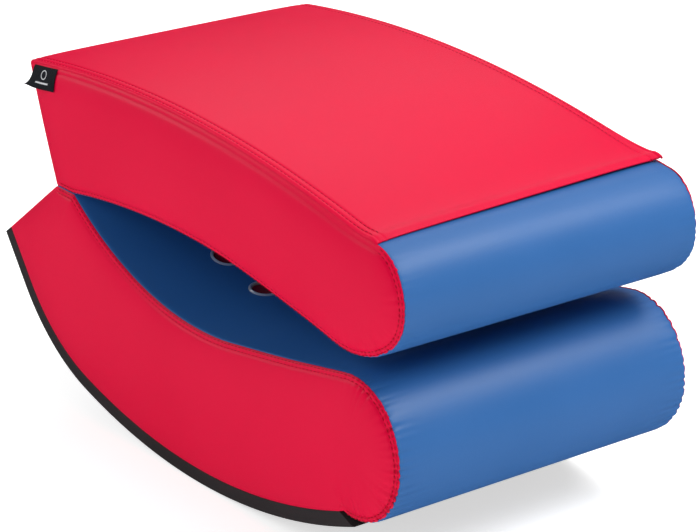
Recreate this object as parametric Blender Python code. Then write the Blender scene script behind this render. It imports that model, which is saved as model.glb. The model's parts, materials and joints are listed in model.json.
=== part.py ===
"""A folding rocker seat of two vinyl-covered foam blocks, shown folded shut.

The lower block is the rocker seat: its underside carries a thick anti-slip sole. The upper block is the
backrest. It turns about the fold line, where both blocks meet, from lying on the seat to standing upright
with the two end faces pressed together.

Both blocks are drawn as side outlines in the fold frame: x runs along the length from the fold line to the
noses, z is up from the fold line, and the outline runs clockwise with the block on its right-hand side.
Metres, +Z up. The origin is at the centre of the whole object's footprint, at floor level.
"""

import math

import bmesh
import bpy
import numpy as np
from mathutils import Matrix, Vector

# ---- Driving dimensions, in metres and degrees ------------------------------------------------------------
SEAM_WIDTH = 0.400  # across both blocks, side seam to side seam
GAP = 0.0003  # between pieces that touch
VINYL = 0.0015  # cover panel with its backing
SIDE_CROWN = 0.012  # how far a padded side panel stands out past its seam
SIDE_RIM = 0.0025  # height of a side panel right at its seam
LAND_LENGTH = 0.038  # flat land beside the fold line on which the closed backrest rests
COMFORT_FOAM = 0.028  # soft foam layer over the firm core
FLATNESS = 0.00012  # most that a straight piece may cut inside its arc

# rocker seat
SEAT_DISH_START = 37.0  # slope down where the dish leaves the land
SEAT_DISH_RADIUS = 0.430
SEAT_FRONT_SLOPE = 8.8  # slope up towards the nose
SEAT_FRONT_RUN = 0.210
SEAT_NOSE_RADIUS = 0.081
SEAT_END_SLOPE = 37.0  # end face, down from the fold line
SEAT_END_LENGTH = 0.142
ROCKER_RADIUS = 0.820  # underside of the sole
ROCKER_LOW_POINT = 0.277  # from the fold line to where the seat stands
ROCKER_DEPTH = 0.118 + 2 * SEAT_NOSE_RADIUS  # from the fold line down to the floor
HEEL_RAMP_SLOPE = 54.0
HEEL_BLEND_RADIUS = 0.250
SOLE_THICKNESS = 0.018
SOLE_EDGE = 0.0025  # chamfer along the sole's long edges
SOLE_TOE_SETBACK = 0.008  # from the nose's bulge back to the sole's upper front edge
SOLE_TOE_LEAN = 0.020  # how far the sole's lower front edge lies ahead of its upper one
ROCKER_FLAT = 0.024  # length of the flat on which the sole stands

# backrest
BACK_END_SLOPE = 110.0  # end face, up from the fold line
BACK_END_LENGTH = 0.151
BACK_OUTER_RADIUS = 1.880
BACK_NOSE_REACH = 0.611  # fold line to the nose's centre
BACK_NOSE_RISE = 0.050
BACK_NOSE_RADIUS = 0.059
BACK_ARCH_RADIUS = 1.270
BACK_ARCH_START = 9.6  # slope up where the arch leaves the land
BACK_ARCH_END = 13.7  # slope down where the arch runs into the nose
FLAP_RISE = 0.0023  # how far the outer flap stands over the seams
FLAP_OVERLAP = 0.034  # flap past the zip, over the blue panel

# fold
HINGE_STRIP = 0.045  # each half of the hinge strip, from the fold line

# air vents
VENT_HEADINGS = (-17.3, -6.7)  # slopes of the dish where the vents sit
VENT_OFFSET = 0.075  # either side of the middle
VENT_FLANGE_RADIUS = 0.019
VENT_FLANGE_EDGE = 0.0006  # height of the flange at its rim
VENT_FLANGE_CROWN = 0.0020  # and at its highest
VENT_BORE_RADIUS = 0.0155
VENT_BORE_ROUNDING = 0.0012  # from the bore to the flange's crown
VENT_BARREL_WALL = 0.0012
VENT_LIP = 0.0016  # how far the barrel's rolled end stands out
VENT_SHEET = 0.0010  # thickness of the washer and of the rolled end
VENT_MESH = 0.0008
VENT_POCKET_MARGIN = 0.0010  # round the flange in the foam
VENT_CUT = 0.020  # how far the cuts for a vent reach past the surface
VENT_SIDES = 20

# cover zips
ZIP_TAPE_WIDTH = 0.010
ZIP_TAPE = 0.0008
ZIP_COIL_WIDTH = 0.005
ZIP_COIL = 0.0026
ZIP_END_MARGIN = 0.022  # from the side seam to the end of the coil
SLIDER_SIZE = (0.0085, 0.0140, 0.0024)  # across the zip, along it, and its height
PULL_SIZE = (0.0060, 0.0180, 0.0012)
ZIP_STOP = 0.004  # length of the stop at each end of the coil
ZIP_CHANNEL_DEPTH = 0.0095  # sunk in the foam under the backrest's zip
ZIP_MARGIN = 0.0015  # between a tape and the cover panel or channel wall beside it
SEAT_ZIP_BEARING = -84.0  # from the seat nose's centre to its zip

# woven label
LABEL_SIZE = (0.052, 0.028, 0.0007)
LABEL_INSET = (0.0175, 0.0025)  # from the end face and from the outer seam

HALF_WIDTH = SEAM_WIDTH / 2
WRAP_HALF = HALF_WIDTH - GAP  # half-width of everything between the side panels
CROWN_STEPS = ((0.010, 0.50), (0.027, 1.0))  # inset from the seam, share of the crown
ZIP_HALF = ZIP_COIL_WIDTH / 2 + GAP + ZIP_TAPE_WIDTH + ZIP_MARGIN

# name: colour, roughness, metallic
FINISHES = {
    "red_vinyl": ((0.76, 0.008, 0.045), 0.38, 0.0),
    "blue_vinyl": ((0.045, 0.155, 0.44), 0.42, 0.0),
    "black_sole": ((0.028, 0.022, 0.026), 0.72, 0.0),
    "black_lining": ((0.02, 0.02, 0.022), 0.85, 0.0),
    "firm_foam": ((0.62, 0.60, 0.50), 0.95, 0.0),
    "soft_foam": ((0.80, 0.78, 0.68), 0.95, 0.0),
    "wadding": ((0.85, 0.85, 0.83), 0.95, 0.0),
    "vent_metal": ((0.62, 0.62, 0.60), 0.28, 1.0),
    "vent_mesh": ((0.07, 0.012, 0.015), 0.60, 0.0),
    "zip_tape": ((0.02, 0.02, 0.022), 0.90, 0.0),
    "zip_coil": ((0.03, 0.03, 0.032), 0.50, 0.0),
    "zip_metal": ((0.55, 0.55, 0.53), 0.30, 1.0),
    "woven_label": ((0.015, 0.016, 0.018), 0.70, 0.0),
}


# ---- Plane geometry ---------------------------------------------------------------------------------------
def heading(degrees):
    """Unit vector at an angle above +x."""
    angle = math.radians(degrees)
    return np.array([math.cos(angle), math.sin(angle)])


def right_of(direction):
    """Unit vector a quarter turn clockwise of a direction: into the block."""
    return np.array([direction[1], -direction[0]])


def bearing(vector):
    """Angle of a vector above +x, in degrees."""
    return math.degrees(math.atan2(vector[1], vector[0]))


def arc(centre, radius, start, end):
    """Points from bearing start to bearing end about a centre, close enough for FLATNESS."""
    step = math.degrees(math.sqrt(8 * FLATNESS / radius))
    count = max(1, math.ceil(abs(end - start) / step))
    return [centre + radius * heading(start + (end - start) * part / count) for part in range(count + 1)]


def circle_meet(centre_a, radius_a, centre_b, radius_b, side):
    """Where two circles cross, on the left (side=1) or right (side=-1) of the line from a to b."""
    across = centre_b - centre_a
    span = np.linalg.norm(across)
    along = (span**2 + radius_a**2 - radius_b**2) / (2 * span)
    off = math.sqrt(max(radius_a**2 - along**2, 0.0))
    unit = across / span
    return centre_a + along * unit - side * off * right_of(unit)


def inset(loop, depth):
    """A closed clockwise outline moved inwards by a depth, with mitred corners."""
    points = np.asarray(loop)
    ahead = np.roll(points, -1, axis=0) - points
    ahead /= np.linalg.norm(ahead, axis=1)[:, None]
    into = np.stack([ahead[:, 1], -ahead[:, 0]], axis=1)
    before = np.roll(into, 1, axis=0)
    mitre = (into + before) / (1.0 + (into * before).sum(axis=1))[:, None]
    return points + depth * mitre


def trimmed(outer, inner, start=GAP / 2, end=GAP / 2):
    """Two paths that run side by side, cut off at the same places, by lengths along the outer one."""
    steps = np.linalg.norm(np.diff(outer, axis=0), axis=1)
    length = np.concatenate([[0.0], np.cumsum(steps)])
    inside = (length > start + GAP) & (length < length[-1] - end - GAP)
    places = np.concatenate([[start], length[inside], [length[-1] - end]])
    cut_paths = []
    for path in (np.asarray(outer), np.asarray(inner)):
        cut_paths.append(np.stack([np.interp(places, length, path[:, axis]) for axis in (0, 1)], axis=1))
    return cut_paths


# ---- The two outlines -------------------------------------------------------------------------------------
class Outline:
    """A block's closed side outline, with the index of each corner by name."""

    def __init__(self):
        self.points = []
        self.corner = {}

    def add(self, points, name):
        """Append points, leaving out a first one that repeats the last, and name the end."""
        for point in points:
            if not self.points or np.linalg.norm(point - self.points[-1]) > 1e-6:
                self.points.append(np.asarray(point, float))
        self.corner[name] = len(self.points) - 1

    def run(self, start, end, depth=0.0):
        """The outline between two named corners, moved inwards."""
        loop = inset(self.points, depth)
        first = self.corner[start]
        last = self.corner[end]
        if last <= first:
            return np.concatenate([loop[first:], loop[: last + 1]])
        return loop[first : last + 1]


def rocker_curve(sole):
    """The seat's underside from toe to heel, a sole's thickness or nothing inside the rocking surface."""
    centre = np.array([ROCKER_LOW_POINT, ROCKER_RADIUS - ROCKER_DEPTH])
    radius = ROCKER_RADIUS - sole
    ramp = heading(-HEEL_RAMP_SLOPE)
    into = heading(90 - HEEL_RAMP_SLOPE)
    heel = SEAT_END_LENGTH * heading(180 + SEAT_END_SLOPE) - (SOLE_THICKNESS - sole) * into
    blend = HEEL_BLEND_RADIUS - sole
    offset = heel + blend * into - centre
    half = float(offset @ ramp)
    along = -half + math.sqrt(half**2 - float(offset @ offset) + (radius - blend) ** 2)
    blend_centre = heel + blend * into + along * ramp
    meeting = bearing(blend_centre - centre)
    return centre, radius, blend_centre, blend, meeting, heel


def rocker_arc(centre, radius, start, end):
    """The rocking surface from toe to heel, with one flat facet at its lowest point."""
    half = math.degrees(ROCKER_FLAT / 2 / ROCKER_RADIUS)
    return arc(centre, radius, start, -90 + half) + arc(centre, radius, -90 - half, end)


def seat_outline():
    """Fold line, land, dish, front run, nose, underside, heel and end face of the rocker seat."""
    outline = Outline()
    outline.add([np.zeros(2)], "fold")
    land_end = np.array([LAND_LENGTH, 0.0])
    outline.add([land_end], "land")
    dish_centre = land_end + SEAT_DISH_RADIUS * heading(90 - SEAT_DISH_START)
    dish = arc(dish_centre, SEAT_DISH_RADIUS, -90 - SEAT_DISH_START, -90 + SEAT_FRONT_SLOPE)
    outline.add(dish, "dish")
    run_end = dish[-1] + SEAT_FRONT_RUN * heading(SEAT_FRONT_SLOPE)
    outline.add([run_end], "run")
    nose = run_end + SEAT_NOSE_RADIUS * right_of(heading(SEAT_FRONT_SLOPE))
    centre, radius, blend_centre, blend, meeting, heel = rocker_curve(SOLE_THICKNESS)
    toe = circle_meet(nose, SEAT_NOSE_RADIUS, centre, radius, 1)
    outline.add(arc(nose, SEAT_NOSE_RADIUS, 90 + SEAT_FRONT_SLOPE, SEAT_ZIP_BEARING), "zip")
    outline.add(arc(nose, SEAT_NOSE_RADIUS, SEAT_ZIP_BEARING, bearing(toe - nose)), "toe")
    outline.add(rocker_arc(centre, radius, bearing(toe - centre), meeting), "rocker")
    outline.add(arc(blend_centre, blend, meeting, -90 - HEEL_RAMP_SLOPE), "ramp")
    outline.add([heel], "heel")
    outline.add([HINGE_STRIP * heading(180 + SEAT_END_SLOPE)], "strip")
    return outline


def back_outline():
    """Fold line, end face, outer arc, nose, toe blend, arch and land of the backrest."""
    outline = Outline()
    outline.add([np.zeros(2)], "fold")
    outline.add([HINGE_STRIP * heading(BACK_END_SLOPE)], "strip")
    corner = BACK_END_LENGTH * heading(BACK_END_SLOPE)
    nose = np.array([BACK_NOSE_REACH, BACK_NOSE_RISE])
    centre = circle_meet(corner, BACK_OUTER_RADIUS, nose, BACK_OUTER_RADIUS - BACK_NOSE_RADIUS, -1)
    tangent = bearing(nose - centre)
    zip_back = math.degrees((FLAP_OVERLAP + ZIP_TAPE_WIDTH) / BACK_OUTER_RADIUS)
    outline.add([corner], "top")
    outline.add(arc(centre, BACK_OUTER_RADIUS, bearing(corner - centre), tangent + zip_back), "zip")
    outline.add(arc(centre, BACK_OUTER_RADIUS, tangent + zip_back, tangent), "hem")
    land_end = np.array([LAND_LENGTH, 0.0])
    arch_centre = land_end - BACK_ARCH_RADIUS * heading(90 + BACK_ARCH_START)
    arch_end = arch_centre + BACK_ARCH_RADIUS * heading(90 - BACK_ARCH_END)
    up = heading(90 - BACK_ARCH_END)
    apart = arch_end - nose
    blend = (BACK_NOSE_RADIUS**2 - float(apart @ apart)) / (2 * (float(up @ apart) + BACK_NOSE_RADIUS))
    blend_centre = arch_end + blend * up
    meeting = bearing(nose - blend_centre)
    outline.add(arc(nose, BACK_NOSE_RADIUS, tangent, meeting), "nose")
    outline.add(arc(blend_centre, blend, meeting, -90 - BACK_ARCH_END), "blend")
    outline.add(arc(arch_centre, BACK_ARCH_RADIUS, 90 - BACK_ARCH_END, 90 + BACK_ARCH_START), "land")
    return outline


SEAT = seat_outline()
BACK = back_outline()


def fold_point():
    """Where the fold line lies, so that the object is centred over the origin and stands on the floor."""
    heel = rocker_curve(0.0)[5]
    noses = [max(point[0] for point in outline.points) for outline in (SEAT, BACK)]
    flat_rise = ROCKER_RADIUS - math.sqrt(ROCKER_RADIUS**2 - (ROCKER_FLAT / 2) ** 2)
    return Vector((-(heel[0] + max(noses)) / 2, 0.0, ROCKER_DEPTH - flat_rise))


FOLD = fold_point()


# ---- Meshes and objects -----------------------------------------------------------------------------------
def material(name):
    """The Principled material of a finish, made once."""
    made = bpy.data.materials.get(name)
    if made:
        return made
    colour, roughness, metallic = FINISHES[name]
    made = bpy.data.materials.new(name)
    made.use_nodes = True
    shader = made.node_tree.nodes["Principled BSDF"]
    shader.inputs["Base Color"].default_value = (*colour, 1.0)
    shader.inputs["Roughness"].default_value = roughness
    shader.inputs["Metallic"].default_value = metallic
    made.diffuse_color = (*colour, 1.0)
    return made


def empty(name, location, parent=None):
    """An empty that carries the pieces of one body."""
    holder = bpy.data.objects.new(name, None)
    bpy.context.scene.collection.objects.link(holder)
    holder.location = location
    holder.parent = parent
    return holder


def solid(name, vertices, faces, finish, parent, location=(0.0, 0.0, 0.0)):
    """A closed mesh object with its faces turned outwards."""
    mesh = bpy.data.meshes.new(name)
    shape = bmesh.new()
    corners = [shape.verts.new(vertex) for vertex in vertices]
    for face in faces:
        shape.faces.new([corners[index] for index in face])
    bmesh.ops.recalc_face_normals(shape, faces=shape.faces)
    shape.to_mesh(mesh)
    shape.free()
    mesh.materials.append(material(finish))
    made = bpy.data.objects.new(name, mesh)
    bpy.context.scene.collection.objects.link(made)
    made.parent = parent
    made.location = location
    return made


def joined_rings(rings, capped):
    """Vertices and faces of equal closed rings joined one to the next, with end caps or closed on itself."""
    size = len(rings[0])
    vertices = [tuple(point) for ring in rings for point in ring]
    faces = []
    pairs = len(rings) - 1 if capped else len(rings)
    for ring in range(pairs):
        here = ring * size
        there = (ring + 1) % len(rings) * size
        for index in range(size):
            after = (index + 1) % size
            faces.append((here + index, here + after, there + after, there + index))
    if capped:
        faces.append(tuple(range(size)))
        faces.append(tuple(range((len(rings) - 1) * size, len(rings) * size)))
    return vertices, faces


def across(outline_points, y):
    """An outline set at a place across the width."""
    return [(x, y, z) for x, z in outline_points]


def prism(name, loop, low, high, finish, parent):
    """An outline extruded across the width."""
    return solid(name, *joined_rings([across(loop, low), across(loop, high)], True), finish, parent)


def ribbon(name, outer, inner, low, high, finish, parent, edge=0.0):
    """A layer between two paths, right across the width, with an optional chamfer along its outer edges."""
    sections = []
    for out, inn in zip(outer, inner):
        part = edge / max(np.linalg.norm(out - inn), 1e-9)
        shoulder = out + part * (inn - out)
        section = [(inn, low), (shoulder, low), (out, low + edge), (out, high - edge), (shoulder, high)]
        section.append((inn, high))
        if not edge:
            section = [(inn, low), (out, low), (out, high), (inn, high)]
        sections.append([(point[0], y, point[1]) for point, y in section])
    return solid(name, *joined_rings(sections, True), finish, parent)


def box(name, size, place, turn, finish, parent, location=(0.0, 0.0, 0.0)):
    """A rectangular block, turned and moved in its own mesh."""
    shape = bmesh.new()
    bmesh.ops.create_cube(shape, size=1.0)
    bmesh.ops.scale(shape, vec=size, verts=shape.verts)
    bmesh.ops.transform(shape, matrix=Matrix.Translation(place) @ turn, verts=shape.verts)
    vertices = [tuple(vertex.co) for vertex in shape.verts]
    faces = [tuple(vertex.index for vertex in face.verts) for face in shape.faces]
    shape.free()
    return solid(name, vertices, faces, finish, parent, location)


def cut(target, cutter):
    """Cut one object out of another, and keep the cutter out of the model."""
    cutter.hide_render = True
    cutter.display_type = "WIRE"
    cutting = target.modifiers.new("cut " + cutter.name, "BOOLEAN")
    cutting.operation = "DIFFERENCE"
    cutting.object = cutter


# ---- Pieces that both blocks have -------------------------------------------------------------------------
def crown_heights(base, skin):
    """Inset and height of each ring of a crowned side, outside in, for a surface a skin's depth inside."""
    rings = [(skin, base), (skin, base + SIDE_RIM - skin)]
    for depth, share in CROWN_STEPS:
        rings.append((depth + skin, base + SIDE_RIM + share * (SIDE_CROWN - SIDE_RIM) - skin))
    return rings


def side_rings(outline, side, skin):
    """The rings of a crowned side, with their places across the width, for side -1 or 1."""
    levels = crown_heights(HALF_WIDTH, skin)
    return [across(inset(outline.points, depth), side * height) for depth, height in levels]


def side_panel(name, outline, side, parent):
    """A padded side's vinyl panel: a shallow crowned tray, open towards the foam."""
    outer = side_rings(outline, side, 0.0)
    inner = side_rings(outline, side, VINYL)
    rings = inner[::-1] + outer
    return solid(name, *joined_rings(rings, True), "red_vinyl", parent)


def side_wadding(name, outline, side, parent):
    """The wadding that fills a side panel's crown."""
    rings = side_rings(outline, side, VINYL + GAP)
    return solid(name, *joined_rings(rings, True), "wadding", parent)


def panel(name, outline, first, last, finish, parent, start=GAP / 2, end=GAP / 2):
    """A cover panel between two corners of an outline, cut back a little at each end."""
    outer, inner = trimmed(outline.run(first, last), outline.run(first, last, VINYL), start, end)
    return ribbon(name, outer, inner, -WRAP_HALF, WRAP_HALF, finish, parent)


def comfort_layer(name, outline, start, end, parent):
    """The soft foam layer under the blue panel."""
    skin = VINYL + GAP
    upper = outline.run(start, end, skin)
    lower = outline.run(start, end, skin + COMFORT_FOAM)
    outer, inner = trimmed(upper, lower, GAP, GAP)
    return ribbon(name, outer, inner, -WRAP_HALF, WRAP_HALF, "soft_foam", parent)


def foam_core(name, outline, start, end, parent):
    """The firm core: the outline inside the cover, stepped in where the comfort layer lies."""
    deep = outline.run(start, end, VINYL + COMFORT_FOAM + 2 * GAP)
    shallow = outline.run(end, start, VINYL + GAP)
    loop = np.concatenate([deep, shallow])
    return prism(name, loop, -WRAP_HALF, WRAP_HALF, "firm_foam", parent)


# ---- Air vents --------------------------------------------------------------------------------------------
def turned(name, profile, frame, finish, parent):
    """A ring-shaped piece turned from a closed section of (radius, height) points about a frame's z axis."""
    rings = []
    for step in range(VENT_SIDES):
        angle = 2 * math.pi * step / VENT_SIDES
        ring = [Vector((r * math.cos(angle), r * math.sin(angle), z)) for r, z in profile]
        rings.append([frame @ point for point in ring])
    return solid(name, *joined_rings(rings, False), finish, parent)


def disc(name, radius, low, high, frame, finish, parent):
    """A round plate about a frame's z axis."""
    angles = [2 * math.pi * step / VENT_SIDES for step in range(VENT_SIDES)]
    rings = []
    for z in (low, high):
        rings.append([frame @ Vector((radius * math.cos(a), radius * math.sin(a), z)) for a in angles])
    return solid(name, *joined_rings(rings, True), finish, parent)


def vent_frame(slope, y):
    """A vent's own axes on the dish: z out of the seat, origin on the blue surface."""
    centre = np.array([LAND_LENGTH, 0.0]) + SEAT_DISH_RADIUS * heading(90 - SEAT_DISH_START)
    place = centre + SEAT_DISH_RADIUS * heading(slope - 90)
    turn = Matrix.Rotation(-math.radians(slope), 4, "Y")
    return Matrix.Translation((place[0], y, place[1])) @ turn


def vent(number, frame, panel_piece, foam_piece, parent):
    """A grommet, the washer behind the panel, the mesh disc in the bore, and the cuts that they sit in."""
    sag = VENT_FLANGE_RADIUS**2 / (2 * SEAT_DISH_RADIUS)
    barrel = VENT_BORE_RADIUS + VENT_BARREL_WALL
    flange_low = sag + 2 * GAP
    washer_high = -VINYL - GAP
    washer_low = washer_high - VENT_SHEET
    lip_high = washer_low - GAP
    lip_low = lip_high - VENT_SHEET
    grommet = (
        (VENT_BORE_RADIUS, lip_low),
        (VENT_BORE_RADIUS, flange_low + VENT_FLANGE_CROWN - VENT_FLANGE_EDGE),
        (VENT_BORE_RADIUS + VENT_BORE_ROUNDING, flange_low + VENT_FLANGE_CROWN),
        (VENT_FLANGE_RADIUS - VENT_BORE_ROUNDING, flange_low + VENT_FLANGE_CROWN - VENT_FLANGE_EDGE / 2),
        (VENT_FLANGE_RADIUS, flange_low + VENT_FLANGE_EDGE),
        (VENT_FLANGE_RADIUS, flange_low),
        (barrel, flange_low),
        (barrel, lip_high),
        (barrel + VENT_LIP, lip_high),
        (barrel + VENT_LIP, lip_low),
    )
    washer_bore = barrel + GAP
    washer = (
        (washer_bore, washer_low),
        (washer_bore, washer_high),
        (VENT_FLANGE_RADIUS, washer_high),
        (VENT_FLANGE_RADIUS, washer_low),
    )
    turned(f"vent_grommet_{number}", grommet, frame, "vent_metal", parent)
    turned(f"vent_washer_{number}", washer, frame, "vent_metal", parent)
    mesh_high = -VINYL
    mesh_low = mesh_high - VENT_MESH
    disc(f"vent_mesh_{number}", VENT_BORE_RADIUS - GAP, mesh_low, mesh_high, frame, "vent_mesh", parent)
    opening = disc(f"panel_hole_{number}", barrel + GAP, -VENT_CUT, VENT_CUT, frame, "vent_mesh", parent)
    pocket_radius = VENT_FLANGE_RADIUS + VENT_POCKET_MARGIN
    pocket_low = lip_low - 2 * GAP
    pocket = disc(f"foam_pocket_{number}", pocket_radius, pocket_low, VENT_CUT, frame, "vent_mesh", parent)
    cut(panel_piece, opening)
    cut(foam_piece, pocket)


# ---- Cover zips -------------------------------------------------------------------------------------------
class ZipLine:
    """Where a zip runs: its middle on the foam, its direction across the zip and its outward direction."""

    def __init__(self, name, place, along, sunk, parent):
        self.name = name
        self.along = along
        self.outward = -right_of(along)
        self.place = place - sunk * self.outward
        self.parent = parent
        self.turn = Matrix.Rotation(-math.radians(bearing(along)), 4, "Y")
        self.half_coil = WRAP_HALF - ZIP_END_MARGIN
        self.slider_y = self.half_coil - SLIDER_SIZE[1] / 2
        self.slider_low = GAP + ZIP_COIL + GAP

    def point(self, across_zip, y, height):
        """A point by its distance across the zip, its place along it, and its height off the foam."""
        plane = self.place + across_zip * self.along + height * self.outward
        return Vector((plane[0], y, plane[1]))

    def block(self, piece, size, across_zip, y, finish):
        """A block of the zip that lies on the foam."""
        centre = self.point(across_zip, y, GAP + size[2] / 2)
        return box(f"{self.name}_{piece}", size, centre, self.turn, finish, self.parent)


def zip_fastener(line):
    """Both tapes, the coil and its two stops."""
    tape_across = ZIP_COIL_WIDTH / 2 + GAP + ZIP_TAPE_WIDTH / 2
    tape_size = (ZIP_TAPE_WIDTH, 2 * WRAP_HALF, ZIP_TAPE)
    line.block("tape_front", tape_size, tape_across, 0.0, "zip_tape")
    line.block("tape_rear", tape_size, -tape_across, 0.0, "zip_tape")
    line.block("coil", (ZIP_COIL_WIDTH, 2 * line.half_coil, ZIP_COIL), 0.0, 0.0, "zip_coil")
    stop_size = (ZIP_COIL_WIDTH, ZIP_STOP, ZIP_COIL + SLIDER_SIZE[2])
    for piece, side in (("stop_right", -1), ("stop_left", 1)):
        line.block(piece, stop_size, 0.0, side * (line.half_coil + GAP + stop_size[1] / 2), "zip_metal")


def zip_slider(line):
    """The slider at the far end of its coil, and its pull tab, which lies along the zip."""
    centre = line.point(0.0, line.slider_y, line.slider_low + SLIDER_SIZE[2] / 2)
    rider = empty(f"{line.name}_slider_place", centre, line.parent)
    box(f"{line.name}_slider", SLIDER_SIZE, Vector(), line.turn, "zip_metal", rider)
    axis_height = line.slider_low + SLIDER_SIZE[2] + GAP + PULL_SIZE[2] / 2
    axis = line.point(0.0, line.slider_y, axis_height) - centre
    middle = Vector((0.0, (PULL_SIZE[2] - PULL_SIZE[1]) / 2, 0.0))
    box(f"{line.name}_pull", PULL_SIZE, middle, line.turn, "zip_metal", rider, axis)


# ---- Rocker seat ------------------------------------------------------------------------------------------
def rocker_sole(parent):
    """The anti-slip sole, from its leaning front end to the heel, chamfered along both long edges."""
    centre, outer_radius, blend_centre, outer_blend, meeting, heel = rocker_curve(0.0)
    thickness = SOLE_THICKNESS - GAP
    toe = SEAT.points[SEAT.corner["toe"]]
    front = bearing(toe - centre) - math.degrees(SOLE_TOE_SETBACK / outer_radius)
    lean = math.degrees(SOLE_TOE_LEAN / outer_radius)
    paths = []
    for depth, start in ((0.0, front + lean), (thickness, front)):
        path = rocker_arc(centre, outer_radius - depth, start, meeting)
        path += arc(blend_centre, outer_blend - depth, meeting, -90 - HEEL_RAMP_SLOPE)[1:]
        path.append(heel + depth * heading(90 - HEEL_RAMP_SLOPE))
        paths.append(path)
    count = min(len(path) for path in paths)
    outer, inner = (path[:1] + path[len(path) - count + 1 :] for path in paths)
    ribbon("rocker_sole", outer, inner, -HALF_WIDTH, HALF_WIDTH, "black_sole", parent, SOLE_EDGE)


def seat_vents(panel_piece, foam_piece, parent):
    """Four air vents in two rows across the dish."""
    number = 0
    for slope in VENT_HEADINGS:
        for y in (-VENT_OFFSET, VENT_OFFSET):
            number += 1
            vent(number, vent_frame(slope, y), panel_piece, foam_piece, parent)


def rocker_seat(parent):
    """The lower block with its cover, sole, vents and zip."""
    foam_core("seat_foam_core", SEAT, "land", "zip", parent)
    comfort = comfort_layer("seat_comfort_foam", SEAT, "land", "zip", parent)
    for side, word in ((-1, "right"), (1, "left")):
        side_wadding(f"seat_side_wadding_{word}", SEAT, side, parent)
        side_panel(f"seat_side_panel_{word}", SEAT, side, parent)
    seat_panel = panel("seat_panel", SEAT, "fold", "zip", "blue_vinyl", parent, end=ZIP_HALF)
    panel("seat_bottom_panel", SEAT, "zip", "heel", "black_lining", parent, start=ZIP_HALF)
    panel("seat_end_panel", SEAT, "heel", "strip", "red_vinyl", parent)
    panel("hinge_strip_seat_half", SEAT, "strip", "fold", "red_vinyl", parent)
    rocker_sole(parent)
    seat_vents(seat_panel, comfort, parent)
    zip_place = inset(SEAT.points, VINYL + GAP)[SEAT.corner["zip"]]
    line = ZipLine("seat_zip", zip_place, heading(SEAT_ZIP_BEARING - 90), 0.0, parent)
    zip_fastener(line)
    zip_slider(line)


# ---- Backrest ---------------------------------------------------------------------------------------------
def outer_flap(parent):
    """The outer panel: on the foam up to the zip, then over the blue panel as far as its hem."""
    outer = BACK.run("top", "hem", -FLAP_RISE)
    on_foam = BACK.run("top", "zip", VINYL)
    over_panel = BACK.run("zip", "hem", -GAP)
    inner = np.concatenate([on_foam[:-1], over_panel])
    outer, inner = trimmed(outer, inner)
    ribbon("back_outer_flap", outer, inner, -WRAP_HALF, WRAP_HALF, "red_vinyl", parent)


def crown_at(depth):
    """Height of a side panel over the seam plane at an inset from its seam."""
    levels = crown_heights(0.0, 0.0)[1:]
    return float(np.interp(depth, [level[0] for level in levels], [level[1] for level in levels]))


def woven_label(parent):
    """The label hanging from the seam at the top corner, leaning on the right side panel's crown."""
    width, drop, thickness = LABEL_SIZE
    from_end, from_seam = LABEL_INSET
    corner, after = BACK.points[BACK.corner["top"]], BACK.points[BACK.corner["top"] + 1]
    along = (after - corner) / np.linalg.norm(after - corner)
    down = right_of(along)
    lean = math.atan2(crown_at(from_seam + drop) - crown_at(from_seam), drop)
    depths = [depth for depth, share in CROWN_STEPS if depth < from_seam + drop]
    base = crown_at(from_seam)
    proud = [crown_at(depth) - base - (depth - from_seam) * math.tan(lean) for depth in depths]
    stand = base + max(proud + [0.0]) + thickness
    place = corner + (from_end + width / 2) * along + from_seam * down
    hinge = Vector((place[0], -HALF_WIDTH - stand, place[1]))
    turn = Matrix.Rotation(-math.radians(bearing(along)), 4, "Y") @ Matrix.Rotation(-lean, 4, "X")
    middle = turn @ Vector((0.0, 0.0, -drop / 2))
    return box("woven_label", (width, thickness, drop), middle, turn, "woven_label", parent, hinge)


def backrest(parent):
    """The upper block with its cover, outer flap, zip and label."""
    core = foam_core("back_foam_core", BACK, "hem", "land", parent)
    comfort_layer("back_comfort_foam", BACK, "hem", "land", parent)
    for side, word in ((-1, "right"), (1, "left")):
        side_wadding(f"back_side_wadding_{word}", BACK, side, parent)
        side_panel(f"back_side_panel_{word}", BACK, side, parent)
    panel("back_panel", BACK, "zip", "fold", "blue_vinyl", parent, start=ZIP_HALF)
    panel("back_end_panel", BACK, "strip", "top", "red_vinyl", parent)
    panel("hinge_strip_back_half", BACK, "fold", "strip", "red_vinyl", parent)
    outer_flap(parent)
    zip_index = BACK.corner["zip"]
    along = BACK.points[zip_index + 1] - BACK.points[zip_index - 1]
    foam_point = inset(BACK.points, VINYL + GAP)[zip_index]
    line = ZipLine("back_zip", foam_point, along / np.linalg.norm(along), ZIP_CHANNEL_DEPTH, parent)
    channel_size = (2 * ZIP_HALF, 2 * SEAM_WIDTH, 2 * ZIP_CHANNEL_DEPTH)
    channel_place = line.point(0.0, 0.0, ZIP_CHANNEL_DEPTH)
    cut(core, box("back_zip_channel", channel_size, channel_place, line.turn, "firm_foam", parent))
    zip_fastener(line)
    zip_slider(line)
    woven_label(parent)


def main():
    """Clear the scene and build both blocks about the fold line."""
    for thing in list(bpy.data.objects):
        bpy.data.objects.remove(thing, do_unlink=True)
    rocker_seat(empty("seat_place", FOLD))
    backrest(empty("fold_axis", FOLD))


main()
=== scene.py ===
"""Finished look of a folding foam rocker seat: sewn vinyl covers, stitching, sole, vents, zips and label.

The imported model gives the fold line, the bodies and every size. Each block's side outline is laid down again
from the same few radii and slopes, and the covers are surfaces worked out over it. Metres, +Z up.
"""

import json
import logging
import math
from dataclasses import dataclass
from enum import Enum
from typing import Any, Callable, Sequence

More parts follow.
